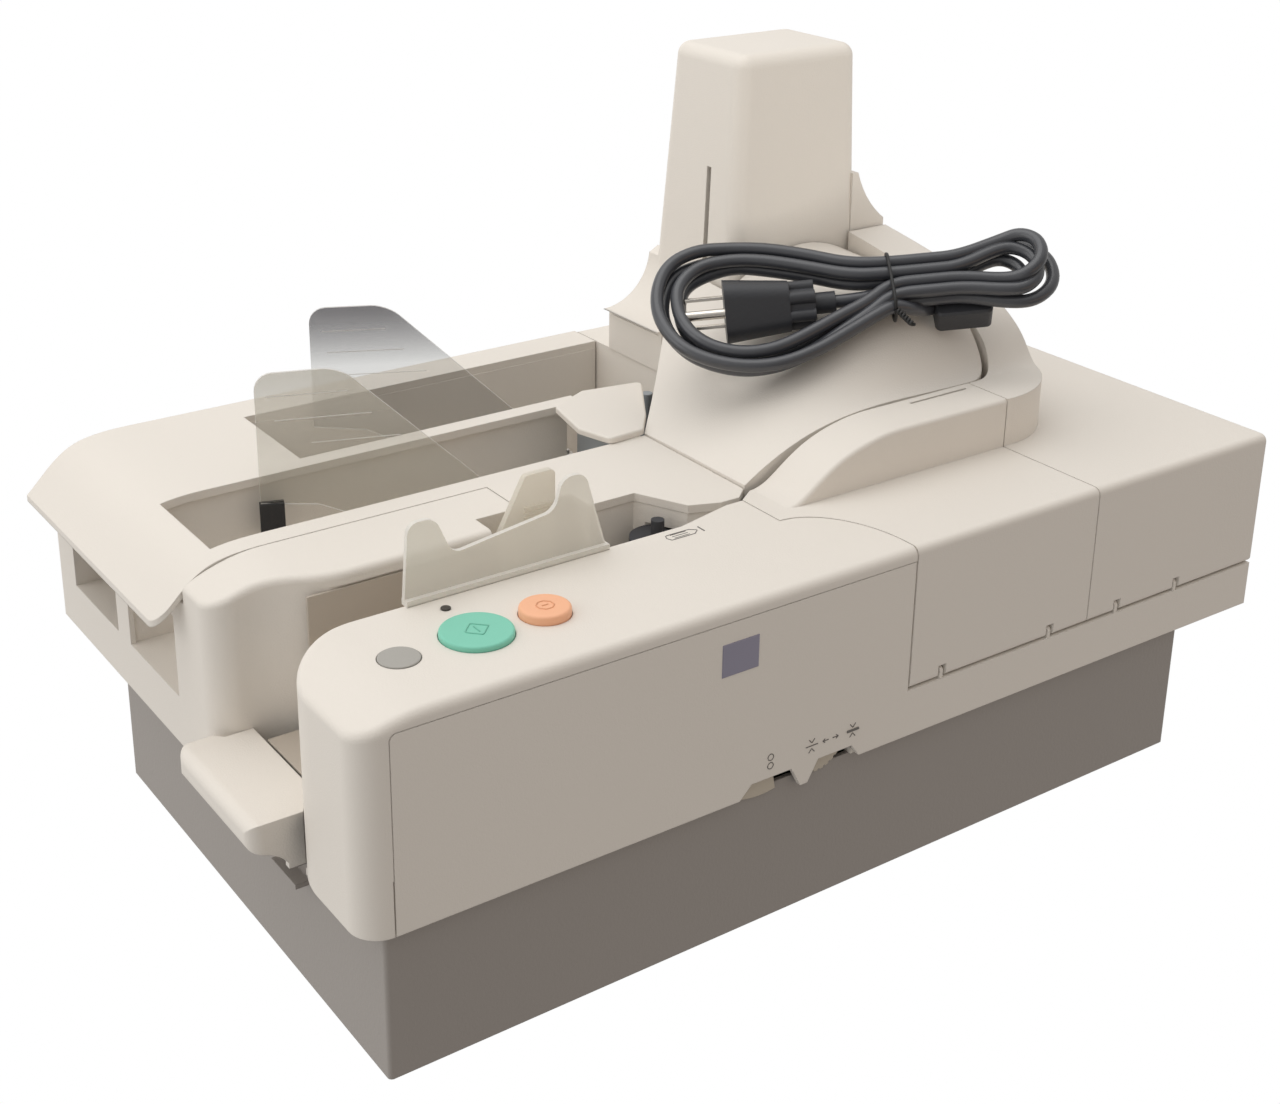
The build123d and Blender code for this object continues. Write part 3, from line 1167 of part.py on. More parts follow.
with BuildPart() as magnetic_head:
    block(head_stations, (island_front + 0.2, island_front + 13), (track_z + 4, track_z + 20), corner=2)
    block((head_stations[0] + 3, head_stations[1] - 3), (island_front + 4, island_front + 12), (track_z, track_z + 4))
finish(magnetic_head.part, "magnetic_head")

with BuildPart() as image_sensor:
    block((island_right - 16, island_right - 0.2), sensor_rows, (track_z + 4, skirt_bottom - 5))
    block((island_right - 14, island_right - 6), (sensor_rows[0] + 4, sensor_rows[1] - 4), (track_z, track_z + 4))
finish(image_sensor.part, "image_sensor")

# ---------------------------------------------------------------- rear housing and tower
rear_left = pocket_two_right + 0.3
rear_front = tower_front + seam
rear_inner = tower_left - 1.4              # the housing steps back here, beside the island
guide_face = back_row + path_gap / 2


def rear_plan(inset, height):
    """Plan of the rear housing, or of its hollow."""
    with BuildSketch(plan_at(height)) as plan:
        with BuildLine():
            Polyline((rear_left + inset, guide_face + inset), (rear_inner + inset, guide_face + inset),
                     (rear_inner + inset, rear_front + inset), (body_length - inset, rear_front + inset),
                     (body_length - inset, body_depth - inset), (rear_left + inset, body_depth - inset), close=True)
        make_face()
    return plan.sketch


with BuildPart() as rear_housing:
    extrude(rear_plan(0, cover_bottom), amount=deck_z - cover_bottom)
    back_corner = [e for e in rear_housing.edges()
                   if e.center().X > left_x + body_length - 1 and e.center().Y > front_y + body_depth - 1
                   and e.bounding_box().size.Z > 9]
    fillet(back_corner, 6)
    back_rim = [e for e in edges_near(rear_housing, deck_z, 0.1)
                if e.center().Y > front_y + body_depth - 8 or e.center().X > left_x + body_length - 1]
    fillet(back_rim, 3)
    extrude(rear_plan(wall, cover_bottom), amount=deck_z - wall - cover_bottom, mode=Mode.SUBTRACT)
    # the document line passes under the tower, which is open below
    block((rear_inner - 1, inner_station + 2), (rear_front - 1, guide_face + 3), (cover_bottom - 1, deck_z - wall),
          Mode.SUBTRACT)
    block((rear_left - 1, body_length - wall - 1), (rear_front - 1, body_depth - wall - 1),
          (cover_bottom - 1, track_z + slip), Mode.SUBTRACT)
    block((tower_left + 4, tower_right - 4), (tower_front + 4, tower_back - 5), (deck_z - 9, deck_z + 1),
          Mode.SUBTRACT)
    # outer guide wall of the rear run
    with BuildSketch(plan_at(track_z)) as rear_guide:
        with BuildLine():
            Polyline((rear_inner - 1, guide_face), (rear_drum_at[0], guide_face))
            CenterArc(rear_drum_at, line_radius_out, 90, -90)
            Line((inner_station, rear_drum_at[1]), (inner_station + 2, rear_drum_at[1]))
            CenterArc(rear_drum_at, line_radius_out + 2, 0, 90)
            Polyline((rear_drum_at[0], guide_face + 2), (rear_inner - 1, guide_face + 2), (rear_inner - 1, guide_face))
        make_face()
    extrude(rear_guide.sketch, amount=deck_z - 9 - track_z)
finish(rear_housing.part, "rear_housing")

skirt_left, skirt_front = 296.5, 230.2
skirt_radius = 30.0
flare_right = front_drum_at[0] + rim_radius
flare_back = 254.0
flare_top, flare_foot = deck_z + 98.0, deck_z + 71.0
tower_base = ((tower_left, tower_right), (tower_front, tower_back))
tower_crown = ((tower_left + tower_taper_side - 2, tower_right - tower_taper_side),
               (tower_front + tower_taper_front, tower_back - tower_taper_back))


def tower_form(inset):
    """The tower with its skirt on the left and its flare on the right, or their hollow."""
    levels = []
    for bounds, height in ((tower_base, deck_z), (tower_crown, tower_z - inset)):
        stations, rows = bounds
        with BuildSketch(plan_at(height)) as level:
            with Locations((sum(stations) / 2, sum(rows) / 2)):
                RectangleRounded(stations[1] - stations[0] - 2 * inset, rows[1] - rows[0] - 2 * inset, 8 - inset)
        levels.append(level.sketch.faces()[0])
    loft(levels)
    with BuildSketch(face_at(tower_back - inset)) as skirt:
        with BuildLine():
            foot = Line((tower_left + 8, deck_z), (skirt_left + inset, deck_z))
            side = Line(foot @ 1, (skirt_left + inset, deck_z + 23 - inset))
            flat = Line(side @ 1, (tower_left + 2.5 - skirt_radius, deck_z + 23 - inset))
            sweep_up = CenterArc((tower_left + 2.5 - skirt_radius, deck_z + 23 + skirt_radius), skirt_radius + inset,
                                 270, 84)
            Polyline(sweep_up @ 1, (tower_left + 8, deck_z + 23 + skirt_radius), foot @ 0)
        make_face()
    extrude(skirt.sketch, amount=tower_back - skirt_front - 2 * inset)
    with BuildSketch(face_at(flare_back - inset)) as flare:
        with BuildLine():
            out = Polyline((tower_right - 8, deck_z), (flare_right - inset, deck_z), (flare_right - inset, flare_foot))
            rise = ThreePointArc(out @ 1, (flare_right - 11.5 - inset, flare_foot + 11.5),
                                 (tower_right - 4.2 - inset, flare_top))
            Polyline(rise @ 1, (tower_right - 8, flare_top), out @ 0)
        make_face()
    extrude(flare.sketch, amount=flare_back - tower_front - 1.2 - 2 * inset)


with BuildPart() as tower_hollow:
    tower_form(tower_wall)

with BuildPart() as tower_cover:
    tower_form(0)
    fillet(edges_near(tower_cover, tower_z, 0.1), 7)
    add(tower_hollow.part, mode=Mode.SUBTRACT)
    # slot for documents that stand taller than the deck
    block((skirt_left - 1, tower_left + 12), (skirt_front - slot_width, skirt_front), (deck_z - 1, deck_z + slot_rise),
          Mode.SUBTRACT)
finish(tower_cover.part, "tower_cover")

# ---------------------------------------------------------------- mains lead, tied in a hank that lies on the covers
cord_diameter = 6.5
hank_thickness = 14.0
hank_left = (257.5, 189.2, 223.5)          # outer end of the loop
hank_end = (415.4, 80.8, 244.1)            # right end of the bundle
hank_low = (274.2, 124.9, 201.4)           # underside of the loop, over the island cover
tie_reach = 116.0                          # the twist tie's distance from the loop's end


def hank_plane():
    """The plane that the hank lies in: x along the bundle, y up the slope."""
    start, end, low = [Vector(left_x + p[0], front_y + p[1], p[2]) for p in (hank_left, hank_end, hank_low)]
    return Plane(origin=start, x_dir=end - start, z_dir=(low - start).cross(end - start))


plug_turn = 45.0
plug_at = (36.0, -12.0, -2.0)              # centre of the plug's face on the hank's plane
plug_width, plug_depth, plug_length = 30.0, 25.0, 31.0
relief_length, pin_length, blade_pitch = 22.0, 18.5, 13.5
relief_radius = 5.2


def plug_plane(reach):
    """Across the plug, this far behind its face; y is the way from blade to blade."""
    lying = hank_plane()
    centre = lying.from_local_coords((plug_at[0] + reach, plug_at[1], plug_at[2]))
    up = lying.y_dir.rotate(Axis((0, 0, 0), lying.x_dir), plug_turn)
    return Plane(origin=centre, x_dir=up, z_dir=lying.x_dir)


with BuildPart() as power_plug:
    with BuildSketch(plug_plane(0)):
        RectangleRounded(plug_width, plug_depth, 8)
    with BuildSketch(plug_plane(plug_length)):
        RectangleRounded(plug_width - 6, plug_depth - 5, 7)
    loft()
    with BuildSketch(plug_plane(plug_length)) as collar:
        Circle(8.5)
        with PolarLocations(8.5, 6):
            Circle(3.2)
    extrude(collar.sketch, amount=12)
    with BuildSketch(plug_plane(plug_length + 12)) as relief:
        Circle(relief_radius)
    extrude(relief.sketch, amount=relief_length - 12)
    with BuildSketch(plug_plane(0)) as blades:
        with Locations((-blade_pitch / 2, -3), (blade_pitch / 2, -3)):
            Rectangle(1.6, 6.4)
    extrude(blades.sketch, amount=-pin_length)
    with BuildSketch(plug_plane(0)) as earth_pin:
        with Locations((0, 6.5)):
            Circle(2.4)
    extrude(earth_pin.sketch, amount=-pin_length - 3)
finish(power_plug.part, "power_plug")

with BuildPart() as power_cord_hank:
    with BuildSketch(hank_plane()) as hank_outline:
        with BuildLine():
            Spline((0, -4), (14, 23), (42, 28.5), (80, 18.5), (115, 6.5), (155, 13), (188, 19), (198, 6),
                   (186, -17), (140, -22), (113, -25), (90, -39.5), (60, -54), (30, -51.5), (8, -35), periodic=True)
        make_face()
        with BuildLine():
            Spline((21, -8), (28, 11), (45, 15.5), (70, 8), (91, -3), (88, -19), (60, -31), (40, -35), (25, -26),
                   periodic=True)
        make_face(mode=Mode.SUBTRACT)
    extrude(hank_outline.sketch, amount=hank_thickness / 2, both=True)
    chamfer(power_cord_hank.edges(), 3.6)
    with BuildSketch(plug_plane(plug_length + 10)) as relief_seat:
        Circle(relief_radius + slip)
    extrude(relief_seat.sketch, amount=relief_length - 10, mode=Mode.SUBTRACT)
finish(power_cord_hank.part, "power_cord_hank")

with BuildPart() as cord_connector:
    with BuildSketch(hank_plane().offset(-20.6)) as connector_foot:
        with Locations((150, -12)):
            RectangleRounded(27, 20, 3)
    extrude(connector_foot.sketch, amount=13)
    chamfer(cord_connector.faces().sort_by(Axis.Z)[:1].edges(), 1)
finish(cord_connector.part, "cord_connector")

with BuildPart() as twist_tie:
    across = Plane(origin=hank_plane().from_local_coords((tie_reach, -8, 0)), x_dir=hank_plane().y_dir,
                   z_dir=hank_plane().x_dir)
    with BuildSketch(across) as tie_loop:
        RectangleRounded(37, hank_thickness + 3.2, 6)
        RectangleRounded(34.6, hank_thickness + 0.8, 5, mode=Mode.SUBTRACT)
        with Locations((-24, 4)):
            Rectangle(12, 1.6)
    extrude(tie_loop.sketch, amount=1.6)
finish(twist_tie.part, "twist_tie")
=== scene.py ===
import bpy
import bmesh
import math
import random
from mathutils import Matrix, Vector
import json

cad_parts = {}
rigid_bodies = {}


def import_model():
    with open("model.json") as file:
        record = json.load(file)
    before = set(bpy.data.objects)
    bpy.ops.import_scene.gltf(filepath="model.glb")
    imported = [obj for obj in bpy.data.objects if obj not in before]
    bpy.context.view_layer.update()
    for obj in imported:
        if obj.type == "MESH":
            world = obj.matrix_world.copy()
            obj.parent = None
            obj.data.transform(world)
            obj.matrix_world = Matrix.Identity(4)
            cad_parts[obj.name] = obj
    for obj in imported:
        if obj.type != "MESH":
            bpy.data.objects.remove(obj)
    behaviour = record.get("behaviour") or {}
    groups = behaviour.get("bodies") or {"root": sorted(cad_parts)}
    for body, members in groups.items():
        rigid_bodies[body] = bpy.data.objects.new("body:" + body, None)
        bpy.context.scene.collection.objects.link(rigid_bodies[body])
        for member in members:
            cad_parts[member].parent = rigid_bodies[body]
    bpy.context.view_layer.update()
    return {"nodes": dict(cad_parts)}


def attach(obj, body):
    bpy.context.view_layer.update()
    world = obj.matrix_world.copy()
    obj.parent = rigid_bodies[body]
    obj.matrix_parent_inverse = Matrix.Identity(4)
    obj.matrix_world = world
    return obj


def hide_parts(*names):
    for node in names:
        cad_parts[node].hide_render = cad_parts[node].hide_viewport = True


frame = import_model()
nodes = frame["nodes"]
rng = random.Random(41)
middle = (236.5, 156.0)                     # of the frame, from the left end and the front face
deckHeight = 164.0


def at(x, y, z):
    # millimetres from the left end, the front face and the table
    return Vector(((x - middle[0]) / 1000, (y - middle[1]) / 1000, z / 1000))


def link(name, data):
    piece = bpy.data.objects.new(name, data)
    bpy.context.scene.collection.objects.link(piece)
    return piece


# camera: degrees, place in millimetres, focal length and centre in pixels, nearest in metres
view = {"azimuth": -34.75, "elevation": 20.43, "roll": 0.52, "place": (-247.9, -509.7, 500.7),
        "focal": 1877.8, "centre": (611.8, 382.6), "image": (1280, 1104), "sensor": 36, "nearest": 0.01}


def aimCamera():
    turn, lift, roll = (math.radians(view[k]) for k in ("azimuth", "elevation", "roll"))
    right = Vector((math.cos(turn), math.sin(turn), 0))
    back = Vector((math.sin(turn) * math.cos(lift), -math.cos(turn) * math.cos(lift), math.sin(lift)))
    up = back.cross(right)
    side = right * math.cos(roll) + up * math.sin(roll)
    above = up * math.cos(roll) - right * math.sin(roll)
    eye = at(*view["place"])
    data = bpy.data.cameras.new("camera")
    camera = link("camera", data)
    camera.matrix_world = Matrix(((side.x, above.x, back.x, eye.x), (side.y, above.y, back.y, eye.y),
                                  (side.z, above.z, back.z, eye.z), (0, 0, 0, 1)))
    wide, high = view["image"]
    data.sensor_width = view["sensor"]
    data.lens = view["focal"] / wide * view["sensor"]
    data.shift_x = (wide / 2 - view["centre"][0]) / wide
    data.shift_y = (view["centre"][1] - high / 2) / wide
    data.clip_start = view["nearest"]
    bpy.context.scene.camera = camera


aimCamera()
bpy.context.scene.view_settings.view_transform = "Standard"
print("camera set")


# a white room, brighter above and to the left than in front
room = {"top": 0.92, "left": 0.80, "right": 0.66, "front": 0.07, "rear": 0.86, "below": 0.36,
        "tint": (1.0, 0.985, 0.965, 1)}


def addNode(tree, kind, values=()):
    node = tree.nodes.new(kind)
    for socket, value in values:
        node.inputs[socket].default_value = value
    return node


def mathNode(tree, operation, one, two):
    node = tree.nodes.new("ShaderNodeMath")
    node.operation = operation
    tree.links.new(one, node.inputs[0])
    tree.links.new(two, node.inputs[1])
    return node.outputs[0]


def lightRoom():
    world = bpy.data.worlds.new("room")
    bpy.context.scene.world = world
    world.use_nodes = True
    tree = world.node_tree
    tree.nodes.clear()
    out = addNode(tree, "ShaderNodeOutputWorld")
    path = addNode(tree, "ShaderNodeLightPath")
    mix = addNode(tree, "ShaderNodeMixShader")
    seen = addNode(tree, "ShaderNodeBackground", (("Color", (1, 1, 1, 1)), ("Strength", 1.0)))
    lit = addNode(tree, "ShaderNodeBackground", (("Color", room["tint"]),))
    way = addNode(tree, "ShaderNodeTexCoord")
    split = addNode(tree, "ShaderNodeSeparateXYZ")
    tree.links.new(way.outputs["Generated"], split.inputs[0])
    shares = []
    for axis, low, high in (("X", "left", "right"), ("Y", "front", "rear"), ("Z", "below", "top")):
        # the square of a direction's part along an axis is that axis's share of the light
        span = addNode(tree, "ShaderNodeMapRange", (("From Min", -1), ("From Max", 1),
                                                    ("To Min", room[low]), ("To Max", room[high])))
        tree.links.new(split.outputs[axis], span.inputs["Value"])
        square = mathNode(tree, "MULTIPLY", split.outputs[axis], split.outputs[axis])
        shares.append(mathNode(tree, "MULTIPLY", square, span.outputs["Result"]))
    sideways = mathNode(tree, "ADD", shares[0], shares[1])
    total = mathNode(tree, "ADD", sideways, shares[2])
    tree.links.new(total, lit.inputs["Strength"])
    tree.links.new(path.outputs["Is Camera Ray"], mix.inputs[0])
    tree.links.new(lit.outputs[0], mix.inputs[1])
    tree.links.new(seen.outputs[0], mix.inputs[2])
    tree.links.new(mix.outputs[0], out.inputs["Surface"])


# lamps: place, target and size in metres
lamps = {
    "ceiling": {"place": (-0.2, 0.30, 1.5), "target": (0, 0, 0.1), "size": (1.3, 1.3), "power": 6.3,
                "colour": (1, 0.995, 0.985)},
    "window": {"place": (-1.45, 0.55, 0.85), "target": (0, 0, 0.12), "size": (1.2, 0.9), "power": 3.6,
               "colour": (1, 0.985, 0.96)},
    "desk": {"place": (0.4, -1.6, 0.25), "target": (0, 0, 0.12), "size": (1.4, 0.6), "power": 1.6,
             "colour": (1, 0.66, 0.40)},
    # a soft front fill that only the tower catches
    "towerFill": {"place": (0.10, -1.5, 0.40), "target": (0.10, 0.1, 0.27), "size": (0.6, 0.5), "power": 7.0,
                  "colour": (1, 0.99, 0.95), "only": "tower_cover"},
}


def hangLamp(name, place, target, size, power, colour, only=None):
    data = bpy.data.lights.new(name, "AREA")
    data.shape = "RECTANGLE"
    data.size, data.size_y = size
    data.energy = power
    data.color = colour
    piece = link(name, data)
    piece.location = place
    piece.rotation_euler = (Vector(target) - Vector(place)).to_track_quat("-Z", "Y").to_euler()
    if only:
        lit = bpy.data.collections.new(name + "_lit")
        lit.objects.link(nodes[only])
        piece.light_linking.receiver_collection = lit


lightRoom()
for name, lamp in lamps.items():
    hangLamp(name, **lamp)
print("light set")


# materials; the radius and the depth are in metres
materials = {}
surface = {"cloudScale": 9.0, "cloudDetail": 4.0, "roughSpread": 0.05, "edgeRadius": 0.0006, "edgeSamples": 4,
           "grainDetail": 2.0, "grainDepth": 0.0004}


def plainMaterial(name, colour, rough, grain=0.0, grainScale=900.0, uneven=0.03, metal=0.0, specular=0.4,
                  coat=0.0):
    # a little uneven in colour and gloss, with softened edges and a fine moulded or painted grain
    material = bpy.data.materials.new(name)
    material.use_nodes = True
    tree = material.node_tree
    shader = tree.nodes["Principled BSDF"]
    shader.inputs["Metallic"].default_value = metal
    shader.inputs["Specular IOR Level"].default_value = specular
    shader.inputs["Coat Weight"].default_value = coat
    place = addNode(tree, "ShaderNodeTexCoord")
    cloud = addNode(tree, "ShaderNodeTexNoise",
                    (("Scale", surface["cloudScale"]), ("Detail", surface["cloudDetail"])))
    tree.links.new(place.outputs["Object"], cloud.inputs["Vector"])
    shade = tree.nodes.new("ShaderNodeMix")
    shade.data_type = "RGBA"
    shade.inputs["A"].default_value = (*[c * (1 - uneven) for c in colour], 1)
    shade.inputs["B"].default_value = (*[min(1, c * (1 + uneven)) for c in colour], 1)
    tree.links.new(cloud.outputs["Fac"], shade.inputs["Factor"])
    tree.links.new(shade.outputs["Result"], shader.inputs["Base Color"])
    gloss = addNode(tree, "ShaderNodeMapRange", (("To Min", rough - surface["roughSpread"]),
                                                 ("To Max", rough + surface["roughSpread"])))
    tree.links.new(cloud.outputs["Fac"], gloss.inputs["Value"])
    tree.links.new(gloss.outputs["Result"], shader.inputs["Roughness"])
    edge = addNode(tree, "ShaderNodeBevel", (("Radius", surface["edgeRadius"]),))
    edge.samples = surface["edgeSamples"]
    relief = edge
    if grain:
        fine = addNode(tree, "ShaderNodeTexNoise",
                       (("Scale", grainScale), ("Detail", surface["grainDetail"])))
        tree.links.new(place.outputs["Object"], fine.inputs["Vector"])
        relief = addNode(tree, "ShaderNodeBump", (("Strength", grain), ("Distance", surface["grainDepth"])))
        tree.links.new(fine.outputs["Fac"], relief.inputs["Height"])
        tree.links.new(edge.outputs["Normal"], relief.inputs["Normal"])
    tree.links.new(relief.outputs["Normal"], shader.inputs["Normal"])
    materials[name] = material


sheetLook = {"specular": 0.5, "behind": (0.93, 0.93, 0.92, 1), "facing": 0.9}


def clearMaterial(name, colour, heights, clear, rough=0.25, milky=0.0):
    # a tinted sheet: how clear it is at the lower and at the upper of two heights
    material = bpy.data.materials.new(name)
    material.use_nodes = True
    tree = material.node_tree
    shader = tree.nodes["Principled BSDF"]
    shader.inputs["Base Color"].default_value = (*colour, 1)
    shader.inputs["Roughness"].default_value = rough
    shader.inputs["Specular IOR Level"].default_value = sheetLook["specular"]
    out = tree.nodes["Material Output"]
    seeThrough = addNode(tree, "ShaderNodeBsdfTransparent", (("Color", sheetLook["behind"]),))
    place = addNode(tree, "ShaderNodeTexCoord")
    split = addNode(tree, "ShaderNodeSeparateXYZ")
    tree.links.new(place.outputs["Object"], split.inputs[0])
    ramp = addNode(tree, "ShaderNodeMapRange",
                   (("From Min", heights[0] / 1000), ("From Max", heights[1] / 1000),
                    ("To Min", 1 - clear[0]), ("To Max", 1 - clear[1])))
    tree.links.new(split.outputs["Z"], ramp.inputs["Value"])
    through = addNode(tree, "ShaderNodeBsdfTranslucent", (("Color", (*colour, 1)),))
    body = addNode(tree, "ShaderNodeMixShader", ((0, milky),))
    tree.links.new(shader.outputs[0], body.inputs[1])
    tree.links.new(through.outputs[0], body.inputs[2])
    mix = addNode(tree, "ShaderNodeMixShader")
    tree.links.new(ramp.outputs["Result"], mix.inputs[0])
    tree.links.new(seeThrough.outputs[0], mix.inputs[1])
    tree.links.new(body.outputs[0], mix.inputs[2])
    tree.links.new(mix.outputs[0], out.inputs["Surface"])
    materials[name] = material


plainMaterial("ivory", (0.80, 0.75, 0.685), 0.52, grain=0.25, grainScale=1400, uneven=0.012)
plainMaterial("greyPaint", (0.345, 0.315, 0.29), 0.48, grain=0.30, grainScale=700, uneven=0.02)
plainMaterial("footRubber", (0.03, 0.03, 0.03), 0.8)
plainMaterial("blackPlastic", (0.03, 0.03, 0.032), 0.5, grain=0.2)
plainMaterial("linerSteel", (0.56, 0.50, 0.43), 0.42, metal=0.35, grain=0.1)
plainMaterial("brightSteel", (0.62, 0.60, 0.57), 0.3, metal=1.0)
plainMaterial("zincPlate", (0.50, 0.50, 0.49), 0.42, metal=0.9, uneven=0.06)
plainMaterial("rollerRubber", (0.05, 0.05, 0.055), 0.75)
plainMaterial("aluminium", (0.6, 0.6, 0.6), 0.35, metal=1.0)
plainMaterial("board", (0.02, 0.11, 0.04), 0.45)
plainMaterial("jogGrey", (0.40, 0.385, 0.355), 0.5, grain=0.2)
plainMaterial("startGreen", (0.22, 0.62, 0.47), 0.42, grain=0.1)
plainMaterial("stopPeach", (0.95, 0.50, 0.30), 0.42, grain=0.1)
plainMaterial("leverTan", (0.55, 0.49, 0.40), 0.5)
plainMaterial("lampLens", (0.05, 0.045, 0.04), 0.3)
plainMaterial("cordBlack", (0.050, 0.053, 0.062), 0.34, grain=0.12, grainScale=500, specular=0.65, coat=0.25)
plainMaterial("plugBlack", (0.040, 0.042, 0.048), 0.45, grain=0.3, grainScale=900, specular=0.5)
plainMaterial("nickel", (0.72, 0.68, 0.62), 0.22, metal=1.0)
plainMaterial("tieBlack", (0.02, 0.02, 0.02), 0.4)
plainMaterial("printGrey", (0.16, 0.15, 0.14), 0.5)
# the ivory made about a fifth darker: painted shade on the island guide, an inner part
plainMaterial("paleInside", (0.66, 0.61, 0.54), 0.55)
plainMaterial("bridgeGrey", (0.33, 0.36, 0.39), 0.42)
# darker copies of the start and stop button colours: painted shade for the raised signs on the buttons
plainMaterial("greenMark", (0.165, 0.50, 0.375), 0.5)
plainMaterial("peachMark", (0.80, 0.38, 0.21), 0.5)
plainMaterial("badgeMetal", (0.34, 0.32, 0.40), 0.32, metal=0.7, uneven=0.12)
clearMaterial("plateWarm", (0.72, 0.69, 0.62), heights=(172, 214), clear=(0.86, 0.50), milky=0.5)
clearMaterial("plateSmoke", (0.25, 0.25, 0.28), heights=(184, 214), clear=(0.88, 0.28), milky=0.2)
clearMaterial("plateEdge", (0.93, 0.92, 0.90), heights=(165, 216), clear=(0.35, 0.15), milky=0.4)
clearMaterial("frosted", (0.90, 0.87, 0.80), heights=(160, 205), clear=(0.58, 0.36), rough=0.3, milky=0.55)
clearMaterial("frostedEdge", (0.97, 0.95, 0.91), heights=(160, 205), clear=(0.25, 0.12), rough=0.3,
              milky=0.4)
clearMaterial("pusherFrost", (0.92, 0.88, 0.80), heights=(160, 205), clear=(0.22, 0.16), rough=0.4,
              milky=0.5)

finishes = {
    "ivory": "lower_housing feeder_shelf operator_housing front_plate stacker_cover gate_cover front_cover "
             "corner_cover island_cover tower_cover rear_housing deck_guide",
    "greyPaint": "base_pan shelf_bracket",
    "footRubber": "feet",
    "blackPlastic": "power_inlet switch_frame power_rocker interface_ports fan_frame fan_rotor "
                    "button_carrier plate_clip magnetic_head image_sensor pusher_bracket drive_belt",
    # the island guide takes the darker ivory, as painted shade
    "paleInside": "island_guide",
    "bridgeGrey": "sorter_gate deflector_panel",
    "linerSteel": "feeder_liner",
    "brightSteel": "hinge_pins plate_pins",
    "zincPlate": "chassis_plate power_supply drive_motor",
    "rollerRubber": "pick_roller feed_roller retard_roller drive_roller cover_idler",
    "aluminium": "front_drum rear_drum motor_pulley",
    "board": "main_board",
    "jogGrey": "jog_button",
    "startGreen": "start_button",
    "stopPeach": "stop_button",
    "leverTan": "gap_lever thickness_dial",
    "plateWarm": "pocket_plate_one",
    "plateSmoke": "pocket_plate_two",
    "pusherFrost": "pusher_plate",
    "frosted": "clear_guide",
    "lampLens": "panel_lamp",
    "cordBlack": "power_cord_hank",
    "plugBlack": "power_plug cord_connector",
    "tieBlack": "twist_tie",
}


def dress(piece, *names):
    piece.data.materials.clear()
    for name in names:
        piece.data.materials.append(materials[name])


for finish, names in finishes.items():
    for name in names.split():
        dress(nodes[name], finish)
        for face in nodes[name].data.polygons:
            face.material_index = 0
print("materials set")


def layCurve(name, points, radius, finish, roundness):
    data = bpy.data.curves.new(name, "CURVE")
    data.dimensions = "3D"
    data.bevel_depth = radius
    data.bevel_resolution = roundness
    data.use_fill_caps = True
    data.resolution_u = 6
    line = data.splines.new("NURBS")
    line.points.add(len(points) - 1)
    for spot, point in zip(line.points, points):
        spot.co = (*point, 1)
    line.order_u = 3
    line.use_endpoint_u = True
    piece = link(name, data)
    dress(piece, finish)
    return piece


def bodyOf(name):
    return nodes[name].parent.name.removeprefix("body:")


# clear sheets: rounded corners, bright cut edges and moulded lines; lengths in metres, flatWithin in degrees
cornerCut = {"sheet": 0.0026, "level": 1e-5, "merge": 0.00002, "flatWithin": 1, "steps": 6}


def roundCorners(piece, radius, lowest):
    # the short edges across the sheet, above the given height; radius and height in millimetres
    data = piece.data
    weights = data.attributes.new("bevel_weight_edge", "FLOAT", "EDGE")
    for edge in data.edges:
        one, two = (data.vertices[k].co for k in edge.vertices)
        across = (one - two).length < cornerCut["sheet"] and abs(one.z - two.z) < cornerCut["level"]
        if across and one.z > lowest / 1000:
            weights.data[edge.index].value = 1.0
    merge = piece.modifiers.new("merge", "WELD")
    merge.merge_threshold = cornerCut["merge"]
    flat = piece.modifiers.new("flat", "DECIMATE")
    flat.decimate_type = "DISSOLVE"
    flat.angle_limit = math.radians(cornerCut["flatWithin"])
    bend = piece.modifiers.new("corners", "BEVEL")
    bend.limit_method = "WEIGHT"
    bend.width = radius / 1000
    bend.segments = cornerCut["steps"]


def brightEdges(piece, across, *names):
    # the first finish on the sheet's two faces, the second on its cut edges
    dress(piece, *names)
    for face in piece.data.polygons:
        face.material_index = 0 if abs(face.normal.dot(across)) > sheetLook["facing"] else 1


# hinge and free end from above, then each moulded line: height, first and last x
plateOne = {"hinge": (190, 172), "tip": (63.7, 215.3),
            "lines": ((204, 68, 102), (192.5, 71, 112), (180.5, 86, 124))}
plateTwo = {"hinge": (240, 233.5), "tip": (125.7, 286),
            "lines": ((203, 130, 158), (192, 132, 166), (180, 134, 176))}
# corners in millimetres, moulded lines in metres
plateTrim = {"corner": 8, "cornersAbove": 205, "lineOut": 0.00075, "lineWire": 0.00022}


def plateDetails(piece, plate, sheetFinish):
    hingeX, hingeY = plate["hinge"]
    tipX, tipY = plate["tip"]
    run = Vector((tipX - hingeX, tipY - hingeY, 0)).normalized()
    across = Vector((-run.y, run.x, 0))
    across = across if across.y < 0 else -across
    brightEdges(piece, across, sheetFinish, "plateEdge")
    roundCorners(piece, plateTrim["corner"], plateTrim["cornersAbove"])
    for count, (height, first, last) in enumerate(plate["lines"]):
        spots = []
        for x in (first, (first + last) / 2, last):
            y = hingeY + (x - hingeX) * (tipY - hingeY) / (tipX - hingeX)
            spots.append(at(x, y, height) + across * plateTrim["lineOut"])
        line = layCurve("%s_line_%d" % (piece.name, count), spots, plateTrim["lineWire"], "plateEdge", 2)
        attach(line, bodyOf(piece.name))


plateDetails(nodes["pocket_plate_one"], plateOne, "plateWarm")
plateDetails(nodes["pocket_plate_two"], plateTwo, "plateSmoke")
brightEdges(nodes["clear_guide"], Vector((0, 1, 0)), "frosted", "frostedEdge")
roundCorners(nodes["clear_guide"], 4.5, deckHeight + 5)
roundCorners(nodes["pusher_plate"], 4.0, deckHeight + 10)
print("clear sheets done")


# marks on the deck and the front plate, and lines of painted shade for the raised signs on the buttons, in
# millimetres
rayFrom = {"above": 260, "ahead": -20}


